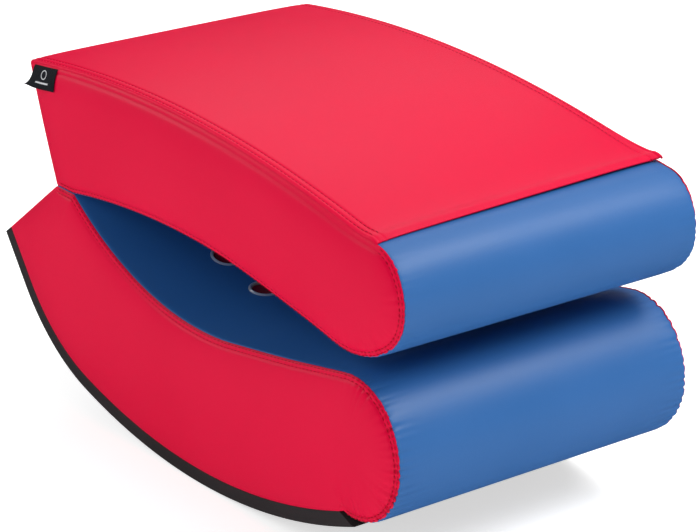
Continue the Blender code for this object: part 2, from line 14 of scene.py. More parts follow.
import bmesh
import bpy
import numpy as np
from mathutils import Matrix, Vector


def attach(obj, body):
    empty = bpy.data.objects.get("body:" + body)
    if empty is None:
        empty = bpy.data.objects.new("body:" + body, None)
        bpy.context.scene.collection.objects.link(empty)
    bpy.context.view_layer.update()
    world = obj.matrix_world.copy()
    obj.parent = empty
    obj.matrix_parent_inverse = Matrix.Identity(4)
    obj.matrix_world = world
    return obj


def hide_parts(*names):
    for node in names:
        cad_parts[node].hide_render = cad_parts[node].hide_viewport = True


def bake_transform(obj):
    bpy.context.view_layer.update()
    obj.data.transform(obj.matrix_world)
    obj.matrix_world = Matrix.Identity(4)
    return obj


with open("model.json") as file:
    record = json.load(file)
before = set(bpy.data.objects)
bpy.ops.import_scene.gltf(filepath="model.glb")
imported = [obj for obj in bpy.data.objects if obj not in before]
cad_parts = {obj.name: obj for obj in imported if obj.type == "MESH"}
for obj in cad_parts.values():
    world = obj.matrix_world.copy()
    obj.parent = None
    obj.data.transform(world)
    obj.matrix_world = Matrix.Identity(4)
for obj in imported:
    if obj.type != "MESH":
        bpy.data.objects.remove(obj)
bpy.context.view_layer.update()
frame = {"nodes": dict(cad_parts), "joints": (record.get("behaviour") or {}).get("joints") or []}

LOG = logging.getLogger("rocker_seat")

HALF_WIDTH = 0.200  # middle to side seam
COVER = 0.0015  # thickness of the vinyl with its backing
SEAM_GAP = 0.0003
PATH_STEP = 0.0005  # spacing of the points along an outline
STITCH_PITCH = 0.0068
STITCH_LENGTH = 0.0046
TOPSTITCH_INSET = 0.0068  # from the seam to the row beside it
SEAM_ROW = 0.0026  # from the outline to the seam's own stitches
SEAM_SINK = 0.0009  # how far a seam draws the cloth in
SINK_FADE = 0.0022  # distance from a seam over which the cloth comes back out
FOLD_PULL = 0.55  # share of a gather's depth by which it draws the outline in
ZIP_HALF = 0.0143  # middle of a zip to the edge of the panel beside its tape
TRIM = 0.0002  # a panel's ends stop this short of its neighbour's
EDGE_BAND = 0.012  # strip beside a seam that has close columns
BLOCK_QUERIES = 4000  # queries answered at a time, which bounds the memory


# ---- Shader graphs ----------------------------------------------------------------------------------------
class Value:
    """A shader socket that takes part in arithmetic."""

    def __init__(self, graph: "Graph", socket: bpy.types.NodeSocket) -> None:
        """Hold a socket and the graph that it belongs to."""
        self.graph = graph
        self.socket = socket

    def maths(self, operation: str, *values: Any) -> "Value":
        """Return a Math node of this operation on the given values."""
        return self.graph.node("ShaderNodeMath", {"operation": operation}, dict(enumerate(values)))

    def __add__(self, other: Any) -> "Value":
        """Return self + other."""
        return self.maths("ADD", self, other)

    def __radd__(self, other: Any) -> "Value":
        """Return other + self."""
        return self.maths("ADD", other, self)

    def __sub__(self, other: Any) -> "Value":
        """Return self - other."""
        return self.maths("SUBTRACT", self, other)

    def __rsub__(self, other: Any) -> "Value":
        """Return other - self."""
        return self.maths("SUBTRACT", other, self)

    def __mul__(self, other: Any) -> "Value":
        """Return self * other."""
        return self.maths("MULTIPLY", self, other)

    def __rmul__(self, other: Any) -> "Value":
        """Return other * self."""
        return self.maths("MULTIPLY", other, self)

    def sine(self) -> "Value":
        """Return the sine of the value."""
        return self.maths("SINE", self)

    def clamped(self, low: float, high: float) -> "Value":
        """Return how far the value lies between low and high, eased, from 0 to 1."""
        settings = {"interpolation_type": "SMOOTHSTEP"}
        sockets = {"Value": self, "From Min": low, "From Max": high}
        return self.graph.node("ShaderNodeMapRange", settings, sockets)


class Graph:
    """The node tree of one material."""

    def __init__(self, name: str) -> None:
        """Start a material with its Principled shader."""
        self.material = bpy.data.materials.new(name)
        self.material.use_nodes = True
        self.tree = self.material.node_tree
        self.shader = self.tree.nodes["Principled BSDF"]

    def node(self, kind: str, settings: dict[str, Any], sockets: dict[Any, Any], output: Any = 0) -> Value:
        """Add a node.

        Args:
            kind: The node's type.
            settings: Properties to set first.
            sockets: Values or links of its inputs, by name or number.
            output: Which output to hand back.

        Returns:
            The chosen output.
        """
        made = self.tree.nodes.new(kind)
        for key, value in settings.items():
            setattr(made, key, value)
        for key, value in sockets.items():
            self.feed(made.inputs[key], value)
        return Value(self, made.outputs[output])

    def feed(self, socket: bpy.types.NodeSocket, value: Any) -> None:
        """Link a value to a socket, or set the socket to a plain number or colour."""
        if isinstance(value, Value):
            self.tree.links.new(value.socket, socket)
        else:
            socket.default_value = value

    def place(self) -> Value:
        """Return the object coordinates."""
        return self.node("ShaderNodeTexCoord", {}, {}, "Object")

    def noise(self, size: float, detail: float = 3.0, place: Value | None = None) -> Value:
        """Return soft noise from 0 to 1 whose blobs are about this many metres across."""
        sockets = {"Vector": place or self.place(), "Scale": 1.0 / size, "Detail": detail}
        return self.node("ShaderNodeTexNoise", {}, sockets, "Fac")

    def blend(self, factor: Value, first: Sequence[float], second: Sequence[float]) -> Value:
        """Return the mix of two colours."""
        return self.node("ShaderNodeMix", {"data_type": "RGBA"}, {0: factor, 6: first, 7: second}, 2)


class Grain(Enum):
    """The fine relief of a finish."""

    LEATHER = "leather"
    WEAVE = "weave"
    CELLS = "cells"
    BRUSHED = "brushed"
    FUZZ = "fuzz"


@dataclass(frozen=True)
class Finish:
    """One material of the object.

    Attributes:
        name: The material's name.
        slot: The record's material slot; not used.
        colour: Its main colour, linear.
        shade: The colour that it drifts towards.
        roughness: Its roughness, and how far that drifts.
        grain: Its fine relief.
        grain_size: Size of one grain, in metres.
        grain_depth: Height of the relief, in metres.
        metallic: 1 for bare metal.
        specular: Specular level of the shader.
    """

    name: str
    slot: str
    colour: tuple[float, float, float]
    shade: tuple[float, float, float]
    roughness: tuple[float, float]
    grain: Grain
    grain_size: float
    grain_depth: float
    metallic: float = 0.0
    specular: float = 0.5

    def material(self) -> bpy.types.Material:
        """Return the material, made once."""
        made = bpy.data.materials.get(self.name)
        if made:
            return made
        graph = Graph(self.name)
        shader = graph.shader
        drift = graph.noise(0.16, 4.0).clamped(0.3, 0.7)
        fine = graph.noise(self.grain_size * 6.0, 2.0)
        tone = drift * 0.6 + fine * 0.4
        graph.feed(shader.inputs["Base Color"], graph.blend(tone, (*self.colour, 1.0), (*self.shade, 1.0)))
        base, spread = self.roughness
        graph.feed(shader.inputs["Roughness"], base - spread + 2.0 * spread * tone)
        graph.feed(shader.inputs["Metallic"], self.metallic)
        graph.feed(shader.inputs["Specular IOR Level"], self.specular)
        height = getattr(self, f"{self.grain.value}_height")(graph)
        sockets = {"Strength": 1.0, "Distance": self.grain_depth, "Height": height}
        graph.feed(shader.inputs["Normal"], graph.node("ShaderNodeBump", {}, sockets))
        return graph.material

    def leather_height(self, graph: Graph) -> Value:
        """Return pebbled grain: rounded cells between fine valleys, with a soft swell below them."""
        sockets = {"Vector": graph.place(), "Scale": 1.0 / self.grain_size}
        cells = graph.node("ShaderNodeTexVoronoi", {"feature": "DISTANCE_TO_EDGE"}, sockets, "Distance")
        return cells.clamped(0.0, 0.3) * 0.6 + graph.noise(self.grain_size * 2.5, 4.0) * 0.8

    def weave_height(self, graph: Graph) -> Value:
        """Return crossed threads: the product of two sines over the piece's length and width."""
        parts = graph.tree.nodes.new("ShaderNodeSeparateXYZ")
        graph.feed(parts.inputs[0], graph.place())
        turns = 2.0 * math.pi / self.grain_size
        along = Value(graph, parts.outputs[0]) + Value(graph, parts.outputs[2])
        return (along * turns).sine() * (Value(graph, parts.outputs[1]) * turns).sine()

    def cells_height(self, graph: Graph) -> Value:
        """Return open foam cells: round pits of mixed sizes."""
        sockets = {"Vector": graph.place(), "Scale": 1.0 / self.grain_size}
        pits = graph.node("ShaderNodeTexVoronoi", {"feature": "F1"}, sockets, "Distance")
        return pits.clamped(0.1, 0.6) + graph.noise(self.grain_size, 3.0) * 0.5

    def brushed_height(self, graph: Graph) -> Value:
        """Return fine scratches along one direction."""
        stretch = {"Vector": graph.place(), "Scale": (1.0, 30.0, 1.0)}
        lines = graph.node("ShaderNodeMapping", {}, stretch)
        return graph.noise(self.grain_size * 12.0, 2.0, lines)

    def fuzz_height(self, graph: Graph) -> Value:
        """Return the tangled surface of fibre or spun thread."""
        return graph.noise(self.grain_size, 5.0)


RED_VINYL = Finish(
    "red vinyl", "red_vinyl", (0.66, 0.0004, 0.038), (0.70, 0.0008, 0.042), (0.40, 0.03),
    Grain.LEATHER, 0.0011, 0.00006, specular=0.11,
)
BLUE_VINYL = Finish(
    "blue vinyl", "blue_vinyl", (0.024, 0.118, 0.340), (0.028, 0.128, 0.365), (0.44, 0.03),
    Grain.LEATHER, 0.0011, 0.00006, specular=0.34,
)
# Stitch thread: its own dark red, made darker still as painted shade of the furrow that the stitches lie in.
THREAD_DARKENED_FOR_SHADE = Finish(
    "red thread with painted furrow shade", "red_vinyl", (0.34, 0.001, 0.016), (0.44, 0.002, 0.02), (0.6, 0.05),
    Grain.FUZZ, 0.0004, 0.00008, specular=0.12,
)
SOLE = Finish(
    "sole rubber", "black_sole", (0.022, 0.018, 0.020), (0.030, 0.024, 0.027), (0.75, 0.06),
    Grain.CELLS, 0.0012, 0.00012,
)
LINING = Finish(
    "black lining", "black_lining", (0.018, 0.018, 0.02), (0.026, 0.026, 0.028), (0.85, 0.05),
    Grain.WEAVE, 0.0016, 0.00015,
)
FIRM_FOAM = Finish(
    "firm foam", "firm_foam", (0.58, 0.56, 0.46), (0.66, 0.64, 0.54), (0.95, 0.03),
    Grain.CELLS, 0.0013, 0.0004,
)
VENT_STEEL = Finish(
    "vent steel", "vent_metal", (0.78, 0.77, 0.76), (0.84, 0.83, 0.82), (0.34, 0.05),
    Grain.BRUSHED, 0.0004, 0.00002, 0.7,
)
VENT_MESH = Finish(
    "vent mesh", "vent_mesh", (0.20, 0.002, 0.012), (0.26, 0.003, 0.018), (0.7, 0.05),
    Grain.WEAVE, 0.0012, 0.0003,
)
ZIP_TAPE = Finish(
    "zip tape", "zip_tape", (0.018, 0.018, 0.02), (0.028, 0.028, 0.03), (0.9, 0.04),
    Grain.WEAVE, 0.0009, 0.00015,
)
ZIP_COIL = Finish(
    "zip coil", "zip_coil", (0.025, 0.025, 0.027), (0.035, 0.035, 0.037), (0.45, 0.05),
    Grain.FUZZ, 0.0008, 0.00004,
)
ZIP_STEEL = Finish(
    "zip steel", "zip_metal", (0.52, 0.52, 0.50), (0.60, 0.60, 0.58), (0.32, 0.06),
    Grain.BRUSHED, 0.0004, 0.00003, 1.0,
)
LABEL_CLOTH = Finish(
    "label cloth", "woven_label", (0.006, 0.008, 0.012), (0.011, 0.013, 0.018), (0.7, 0.05),
    Grain.WEAVE, 0.0006, 0.0001, specular=0.2,
)
LABEL_THREAD = Finish(
    "label thread", "woven_label", (0.62, 0.63, 0.68), (0.72, 0.73, 0.76), (0.6, 0.05),
    Grain.WEAVE, 0.0005, 0.0001,
)


# ---- Outlines ---------------------------------------------------------------------------------------------
def heading(degrees: float) -> np.ndarray:
    """Return the unit vector at an angle above +x."""
    angle = math.radians(degrees)
    return np.array([math.cos(angle), math.sin(angle)])


def right_of(direction: np.ndarray) -> np.ndarray:
    """Return the vector a quarter turn clockwise of a direction."""
    return np.array([direction[1], -direction[0]])


def bearing(vector: np.ndarray) -> float:
    """Return a vector's angle above +x, in degrees."""
    return math.degrees(math.atan2(vector[1], vector[0]))


def arc(centre: np.ndarray, radius: float, start: float, end: float) -> np.ndarray:
    """Return points on a circle from bearing start to bearing end, PATH_STEP apart."""
    count = max(2, math.ceil(radius * math.radians(abs(end - start)) / PATH_STEP))
    angles = np.radians(np.linspace(start, end, count))
    return centre + radius * np.stack([np.cos(angles), np.sin(angles)], axis=1)


def circle_meet(centre_a: np.ndarray, radius_a: float, centre_b: np.ndarray, radius_b: float) -> tuple:
    """Return both places where two circles cross: left of the line from a to b, then right of it."""
    between = centre_b - centre_a
    span = float(np.linalg.norm(between))
    along = (span**2 + radius_a**2 - radius_b**2) / (2.0 * span)
    off = math.sqrt(max(radius_a**2 - along**2, 0.0))
    unit = between / span
    return centre_a + along * unit - off * right_of(unit), centre_a + along * unit + off * right_of(unit)


class Path:
    """An open path in the side plane, with the direction out of the block along it."""

    def __init__(self, points: np.ndarray) -> None:
        """Space the points evenly, and work out their outward directions."""
        steps = np.linalg.norm(np.diff(points, axis=0), axis=1)
        keep = np.concatenate([[True], steps > 1e-7])
        points = points[keep]
        length = np.concatenate([[0.0], np.cumsum(np.linalg.norm(np.diff(points, axis=0), axis=1))])
        self.total = float(length[-1])
        self.length = np.linspace(0.0, self.total, max(4, math.ceil(self.total / PATH_STEP)))
        self.points = np.stack([np.interp(self.length, length, points[:, axis]) for axis in (0, 1)], axis=1)
        ahead = np.gradient(self.points, axis=0)
        ahead /= np.linalg.norm(ahead, axis=1)[:, None]
        self.normals = np.stack([-ahead[:, 1], ahead[:, 0]], axis=1)

    def read(self, table: np.ndarray, along: np.ndarray) -> np.ndarray:
        """Return rows of a table over the path at lengths along it."""
        return np.stack([np.interp(along, self.length, table[:, axis]) for axis in (0, 1)], axis=-1)

    def at(self, along: np.ndarray) -> np.ndarray:
        """Return points at lengths along the path."""
        return self.read(self.points, along)

    def out(self, along: np.ndarray) -> np.ndarray:
        """Return outward unit vectors at lengths along the path."""
        found = self.read(self.normals, along)
        return found / np.linalg.norm(found, axis=-1, keepdims=True)

    def nearest(self, queries: np.ndarray) -> tuple[np.ndarray, np.ndarray]:
        """Find the nearest place on the path to each query point.

        Args:
            queries: Points, one a row.

        Returns:
            The lengths along the path of the nearest places, and the distances to them.
        """
        coarse = self.points[::4]
        coarse_length = self.length[::4]
        along = np.empty(len(queries))
        away = np.empty(len(queries))
        for start in range(0, len(queries), BLOCK_QUERIES):
            stop = start + BLOCK_QUERIES
            part = queries[start:stop]
            squares = ((part[:, None, :] - coarse[None]) ** 2).sum(axis=2)
            best = squares.argmin(axis=1)
            near = coarse_length[best]
            out = self.out(near)
            offset = part - self.at(near)
            slide = offset[:, 0] * out[:, 1] - offset[:, 1] * out[:, 0]
            near = np.clip(near + slide, 0.0, self.total)
            along[start:stop] = near
            away[start:stop] = np.linalg.norm(part - self.at(near), axis=1)
        return along, away


class Outline:
    """A block's closed side outline, laid clockwise, with names for its corners."""

    def __init__(self, fold: Vector) -> None:
        """Start at the fold line."""
        self.fold = np.array([fold.x, fold.z])
        self.points = np.zeros((1, 2))
        self.corner = {"fold": 0}

    def lay(self, points: Any, name: str) -> None:
        """Append points and name the last one."""
        self.points = np.concatenate([self.points, np.atleast_2d(np.asarray(points, float))])
        self.corner[name] = len(self.points) - 1

    def path(self, start: str, end: str) -> Path:
        """Return the stretch between two corners, in world places."""
        first = self.corner[start]
        last = self.corner[end]
        if last <= first:
            points = np.concatenate([self.points[first:], self.points[: last + 1]])
        else:
            points = self.points[first : last + 1]
        return Path(points + self.fold)

    def reach(self, start: str, end: str) -> float:
        """Return the length of the stretch between two corners."""
        return self.path(start, end).total


# ---- Surfaces ---------------------------------------------------------------------------------------------
def graded(*zones: tuple[float, float, float]) -> np.ndarray:
    """Return increasing places over touching zones, each (start, end, spacing)."""
    parts = [np.linspace(a, b, max(2, math.ceil((b - a) / step) + 1))[:-1] for a, b, step in zones]
    return np.concatenate([*parts, [zones[-1][1]]])


def seam_columns(half: float, fine: tuple[float, float] | None = None, step: float = 0.0011) -> np.ndarray:
    """Return places across the width, close together beside both seams and in one band on either side.

    Args:
        half: The last place.
        fine: Ends of the close band on either side, if there is one.
        step: Spacing beside the seams.
    """
    wide = 0.009
    band = () if fine is None else ((0.0, fine[0], wide), (*fine, 0.0016))
    start = 0.0 if fine is None else fine[1]
    right = graded(*band, (start, half - EDGE_BAND, wide), (half - EDGE_BAND, half, step))
    return np.concatenate([-right[:0:-1], right])


def grid_faces(rows: int, columns: int, round_rows: bool = False, round_columns: bool = False) -> np.ndarray:
    """Return the quads of a grid of points, closed on itself where asked."""
    index = np.arange(rows * columns).reshape(rows, columns)
    if round_rows:
        index = np.concatenate([index, index[:1]])
    if round_columns:
        index = np.concatenate([index, index[:, :1]], axis=1)
    quads = (index[:-1, :-1], index[1:, :-1], index[1:, 1:], index[:-1, 1:])
    return np.stack(quads, axis=-1).reshape(-1, 4)


def mesh_piece(name: str, points: np.ndarray, faces: Any, finish: Finish) -> bpy.types.Object:
    """Make a smooth-shaded object at the origin from points and faces."""
    mesh = bpy.data.meshes.new(name)
    mesh.from_pydata(points.reshape(-1, 3), [], faces.tolist() if isinstance(faces, np.ndarray) else faces)
    mesh.polygons.foreach_set("use_smooth", np.ones(len(mesh.polygons), bool))
    mesh.materials.append(finish.material())
    made = bpy.data.objects.new(name, mesh)
    bpy.context.scene.collection.objects.link(made)
    return made


def dressed(
    piece: bpy.types.Object, body: str, replaced: Sequence[str] = (),
) -> bpy.types.Object:
    """Let a piece ride on its body and hide the nodes that it stands for."""
    if replaced:
        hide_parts(*replaced)
    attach(piece, body)
    LOG.info("%s rides on %s", piece.name, body)
    return piece


def thickened(piece: bpy.types.Object, thickness: float) -> bpy.types.Object:
    """Give a sheet its wall, inwards from its outer face."""
    wall = piece.modifiers.new("wall", "SOLIDIFY")
    wall.thickness = thickness
    wall.offset = -1.0
    return piece


def sheet_piece(
    name: str, grid: np.ndarray, finish: Finish, keep: np.ndarray | None = None, flip: bool = False
) -> bpy.types.Object:
    """Make a cover panel with a wall from a grid of points.

    Args:
        name: The piece's name.
        grid: Points, rows by columns by 3.
        finish: Its material.
        keep: Which quads stay, where some are left out for a hole.
        flip: Turn the faces round.

    Returns:
        The panel.
    """
    faces = grid_faces(*grid.shape[:2])
    if keep is not None:
        faces = faces[keep.ravel()]
    if flip:
        faces = faces[:, ::-1]
    return thickened(mesh_piece(name, grid, faces, finish), COVER)


@dataclass(frozen=True)
class Gathers:
    """Small folds where cloth is eased in along a curved seam.

    Attributes:
        start: Where they begin, as a length along the seam.
        end: Where they stop.
        pitch: Mean spacing.
        depth: Mean depth of a fold at the seam.
        reach: How far from the seam a fold dies out.
        seed: Seed of their irregular spacing.
    """

    start: float
    end: float
    pitch: float
    depth: float
    reach: float
    seed: int

    def relief(self, along: np.ndarray, away: np.ndarray) -> np.ndarray:
        """Return the depth of the folds: a sum of narrow bell-shaped valleys that fade away from the seam."""
        chance = np.random.default_rng(self.seed)
        count = max(2, round((self.end - self.start) / self.pitch))
        places = self.start + (np.arange(count) + chance.uniform(-0.28, 0.28, count)) * self.pitch
        widths = self.pitch * chance.uniform(0.17, 0.27, count)
        fades = self.reach * chance.uniform(0.6, 1.5, count)
        middle = (places - self.start) / max(self.end - self.start, 1e-6)
        swell = np.sin(math.pi * np.clip(middle, 0.04, 0.96)) ** 0.5
        depths = self.depth * chance.uniform(0.35, 1.5, count) * swell
        total = np.zeros_like(along)
        for place, width, fade, depth in zip(places, widths, fades, depths):
            total += depth * np.exp(-(((along - place) / width) ** 2) - away / fade)
        return total


@dataclass(frozen=True)
class Swell:
    """A soft rise of the foam along an outline.

    Attributes:
        place: Its middle, as a length along the outline.
        height: How far it rises.
        spread: Its half-width.
    """

    place: float
    height: float
    spread: float

    def rise(self, along: np.ndarray) -> np.ndarray:
        """Return the bell-shaped height at lengths along the outline."""
        return self.height * np.exp(-(((along - self.place) / self.spread) ** 2))


@dataclass(frozen=True)
class Crown:
    """How a padded side panel stands out past its seam.

    Attributes:
        rim: Height of the rolled edge right beside the seam.
        height: Rise of the padding past the rim.
        reach: Distance over which the padding rises.
        groove: Depth of the furrow that the topstitching pulls.
    """

    rim: float = 0.0004
    height: float = 0.0122
    reach: float = 0.0180
    groove: float = 0.0013

    def rise(self, distances: Sequence[np.ndarray]) -> np.ndarray:
        """Return the height over the seam plane.

        The rim is one minus an exponential of the nearest seam's distance. The padding is the product, over
        the seams, of one minus an exponential of each seam's distance, which rounds the corners off.
        """
        nearest = np.minimum.reduce(distances)
        padding = np.ones_like(nearest)
        for distance in distances:
            padding *= 1.0 - np.exp(-distance / self.reach)
        return self.rim * (1.0 - np.exp(-nearest / 0.0009)) + self.height * padding

    def furrow(self, away: np.ndarray) -> np.ndarray:
        """Return the depth of the topstitched furrow, a narrow bell over the stitch row."""
        return self.groove * np.exp(-(((away - TOPSTITCH_INSET) / 0.0014) ** 2))


def coons(bottom: np.ndarray, top: np.ndarray, left: np.ndarray, right: np.ndarray) -> np.ndarray:
    """Return a grid spanned between four border lines that share their corners.

    The grid is the sum of the two ruled surfaces between opposite borders, less the corners' flat patch.
    """
    u = np.linspace(0.0, 1.0, len(bottom))[:, None, None]
    v = np.linspace(0.0, 1.0, len(left))[None, :, None]
    weights_u = (bottom[:, None] * (1.0 - v)) + top[:, None] * v
    weights_v = left[None] * (1.0 - u) + right[None] * u
    lower = bottom[0] * (1.0 - u) + bottom[-1] * u
    upper = top[0] * (1.0 - u) + top[-1] * u
    corners = lower * (1.0 - v) + upper * v
    return weights_u + weights_v - corners


def edge_spread(count: int, crowding: float) -> np.ndarray:
    """Return fractions from 0 to 1 that crowd towards both ends, by a blend of an even run and a cosine."""
    even = np.linspace(0.0, 1.0, count)
    return (1.0 - crowding) * even + crowding * (0.5 - 0.5 * np.cos(math.pi * even))


class Stitching:
    """Rows of thread laid along seams."""

    RADIUS = 0.00045
    SIDES = 6

    def __init__(self) -> None:
        """Start with no stitches."""
        self.starts: list[np.ndarray] = []
        self.ends: list[np.ndarray] = []
        self.lifts: list[np.ndarray] = []

    def row(
        self, place: Callable[[np.ndarray], np.ndarray], lift: Callable[[np.ndarray], np.ndarray],
        start: float, end: float,
    ) -> None:
        """Lay a row of stitches.

        Args:
            place: Gives points on the cover at lengths along the row.
            lift: Gives the outward directions there.
            start: Where the row begins.
            end: Where it stops.
        """
        begins = np.arange(start, end - STITCH_LENGTH, STITCH_PITCH)
        self.starts.append(place(begins))
        self.ends.append(place(begins + STITCH_LENGTH))
        self.lifts.append(lift(begins + STITCH_LENGTH / 2.0))

    def piece(self, name: str) -> bpy.types.Object:
        """Return all stitches as one object: each a capsule whose ends dip into the cover."""
        start = np.concatenate(self.starts)
        end = np.concatenate(self.ends)
        lift = np.concatenate(self.lifts)
        along = end - start
        length = np.linalg.norm(along, axis=1, keepdims=True)
        along = along / length
        lift = lift - (lift * along).sum(axis=1, keepdims=True) * along
        lift /= np.linalg.norm(lift, axis=1, keepdims=True)
        side = np.cross(along, lift)
        stations = np.array([0.0, 0.12, 0.5, 0.88, 1.0])
        widths = self.RADIUS * np.array([0.35, 0.9, 1.1, 0.9, 0.35])
        heights = self.RADIUS * np.array([-0.9, 0.05, 0.45, 0.05, -0.9])
        angles = 2.0 * math.pi * np.arange(self.SIDES) / self.SIDES
        ring = np.stack([np.cos(angles), np.sin(angles)], axis=1)
        centres = start[:, None] + along[:, None] * (stations * length)[:, :, None]
        centres = centres + lift[:, None] * heights[:, None]
        points = (
            centres[:, :, None]
            + side[:, None, None] * (widths[:, None] * ring[:, 0])[..., None]
            + lift[:, None, None] * (widths[:, None] * ring[:, 1])[..., None]
        )
        count = len(stations) * self.SIDES
        walls = grid_faces(len(stations), self.SIDES, round_columns=True)
        shift = (np.arange(len(start)) * count)[:, None, None]
        faces = (walls[None] + shift).reshape(-1, 4).tolist()
        first = list(range(self.SIDES))
        last = [count - 1 - index for index in range(self.SIDES)]
        for base in range(0, len(start) * count, count):
            faces.append([base + index for index in first])
            faces.append([base + index for index in last])
        return mesh_piece(name, points.reshape(-1, 3), faces, THREAD_DARKENED_FOR_SHADE)


# ---- The two blocks ---------------------------------------------------------------------------------------
@dataclass
class Block:
    """What both foam blocks share: a side outline and the covers over it.

    Attributes:
        fold: The fold line's place.
        body: The body that the block's pieces ride on.
        land: Length of the flat beside the fold line.
        strip: How far the hinge strip reaches up or down an end face.
        crown: The padding of the side panels.
    """

    fold: Vector
    body: str
    land: float = 0.038
    strip: float = 0.045
    crown: Crown = Crown()

    def side_grid(self, borders: Sequence[Path], fractions: tuple[np.ndarray, np.ndarray]) -> np.ndarray:
        """Return side-plane points over the block, from its bottom, top, left and right borders."""
        across, up = fractions
        lines = [path.at(part * path.total) for path, part in zip(borders, (across, across, up, up))]
        return coons(*lines)

    def side_cover(
        self, side: int, flat: np.ndarray, seams: Sequence[tuple[Path, float]], topstitched: Path,
        gathers: Sequence[Gathers], swells: Sequence[Swell], name: str, replaced: Sequence[str],
    ) -> bpy.types.Object:
        """Make one padded side panel.

        Its height over the seam plane is the crown's, less the furrow of the topstitching and the gathers.
        Close to the seam the gathers also pull the panel's edge inwards, and the swells push it out.

        Args:
            side: -1 for the right side, 1 for the left.
            flat: Side-plane points of its grid.
            seams: The smooth stretches of its outline, each with how softly the padding rises from it.
            topstitched: The stretch that has stitching beside it.
            gathers: Its folds, by length along the topstitched stretch.
            swells: Rises of the outline, by length along the topstitched stretch.
            name: The piece's name.
            replaced: The nodes that it stands for.

        Returns:
            The panel.
        """
        points = flat.reshape(-1, 2)
        along, away = topstitched.nearest(points)
        distances = [
            (away if seam is topstitched else seam.nearest(points)[1]) / softness for seam, softness in seams
        ]
        folds = sum((gather.relief(along, away) for gather in gathers), np.zeros_like(along))
        height = self.crown.rise(distances) - self.crown.furrow(away) * (along > 0.0)
        open_part = 1.0 - np.exp(-away / 0.002)
        height -= folds * (0.25 + 0.75 * open_part)
        rise = sum((swell.rise(along) for swell in swells), np.zeros_like(along))
        rise = rise * np.exp(-((away / 0.03) ** 2))
        pull = FOLD_PULL * folds * np.exp(-away / 0.004) + self.edge_sink(along) * np.exp(-away / SINK_FADE)
        placed = points + topstitched.out(along) * (rise - pull)[:, None]
        grid = np.stack([placed[:, 0], side * (HALF_WIDTH + np.maximum(height, 0.0)), placed[:, 1]], axis=1)
        piece = sheet_piece(name, grid.reshape(*flat.shape[:2], 3), RED_VINYL, flip=side > 0)
        return dressed(piece, self.body, replaced)

    def edge_sink(self, along: np.ndarray) -> np.ndarray:
        """Return how far the seam draws a side panel's edge inwards, by length along its seam."""
        return np.full_like(along, SEAM_SINK)

    def wrap(
        self, name: str, path: Path, along: np.ndarray, across: np.ndarray, finish: Finish,
        replaced: Sequence[str], gathers: Sequence[Gathers] = (), swells: Sequence[Swell] = (),
        sink: float = SEAM_SINK, holes: Sequence[tuple[float, float, float]] = (), padded: bool = False,
    ) -> bpy.types.Object:
        """Make a panel that runs across the width over a stretch of the outline.

        A point lies on the path, moved outwards by the swells and inwards beside each side seam, where the
        seam draws the cloth in and the gathers fold it.

        Args:
            name: The piece's name.
            path: The stretch of outline.
            along: Places of its rows, as lengths along the path.
            across: Places of its columns.
            finish: Its material.
            replaced: The nodes that it stands for.
            gathers: Its folds.
            swells: Its rises.
            sink: How far the cloth sinks at a side seam.
            holes: Round holes, each by its place along and across, and its radius.
            padded: Whether it covers soft foam of its own; not used.

        Returns:
            The panel.
        """
        rows, columns = np.meshgrid(along, across, indexing="ij")
        away = HALF_WIDTH - np.abs(columns)
        lift = -sink * np.exp(-away / SINK_FADE)
        for gather in gathers:
            lift = lift - FOLD_PULL * gather.relief(rows, away)
        for swell in swells:
            lift = lift + swell.rise(rows) * (1.0 - 0.35 * np.exp(-away / 0.02))
        plane = path.at(rows) + path.out(rows) * lift[..., None]
        grid = np.stack([plane[..., 0], columns, plane[..., 1]], axis=-1)
        keep = None
        if holes:
            middle_rows = (rows[1:, 1:] + rows[:-1, :-1]) / 2.0
            middle_columns = (columns[1:, 1:] + columns[:-1, :-1]) / 2.0
            keep = np.ones(middle_rows.shape, bool)
            for place, off, radius in holes:
                keep &= np.hypot(middle_rows - place, middle_columns - off) > radius
        piece = sheet_piece(name, grid, finish, keep)
        return dressed(piece, self.body, replaced)

    def topstitch(self, name: str, path: Path, start: float, end: float, swells: Sequence[Swell]) -> None:
        """Lay the stitch rows beside both side seams along a stretch."""
        thread = Stitching()
        for side, row in ((-1, TOPSTITCH_INSET), (1, TOPSTITCH_INSET), (-1, SEAM_ROW)):
            def place(along: np.ndarray, side: int = side, row: float = row) -> np.ndarray:
                """Return points on the side panel along the stitch row."""
                inset = row - sum((swell.rise(along) for swell in swells), np.zeros_like(along))
                plane = path.at(along) - path.out(along) * inset[:, None]
                away = np.full(len(along), row)
                height = self.crown.rise([away, np.ones_like(away)]) - self.crown.furrow(away)
                return np.stack([plane[:, 0], side * (HALF_WIDTH + height), plane[:, 1]], axis=1)

            def lift(along: np.ndarray, side: int = side) -> np.ndarray:
                """Return the directions straight out of the side panel."""
                plane = path.out(along) * 0.45
                return np.stack([plane[:, 0], np.full(len(along), float(side)), plane[:, 1]], axis=1)

            thread.row(place, lift, start, end)
        dressed(thread.piece(name), self.body)


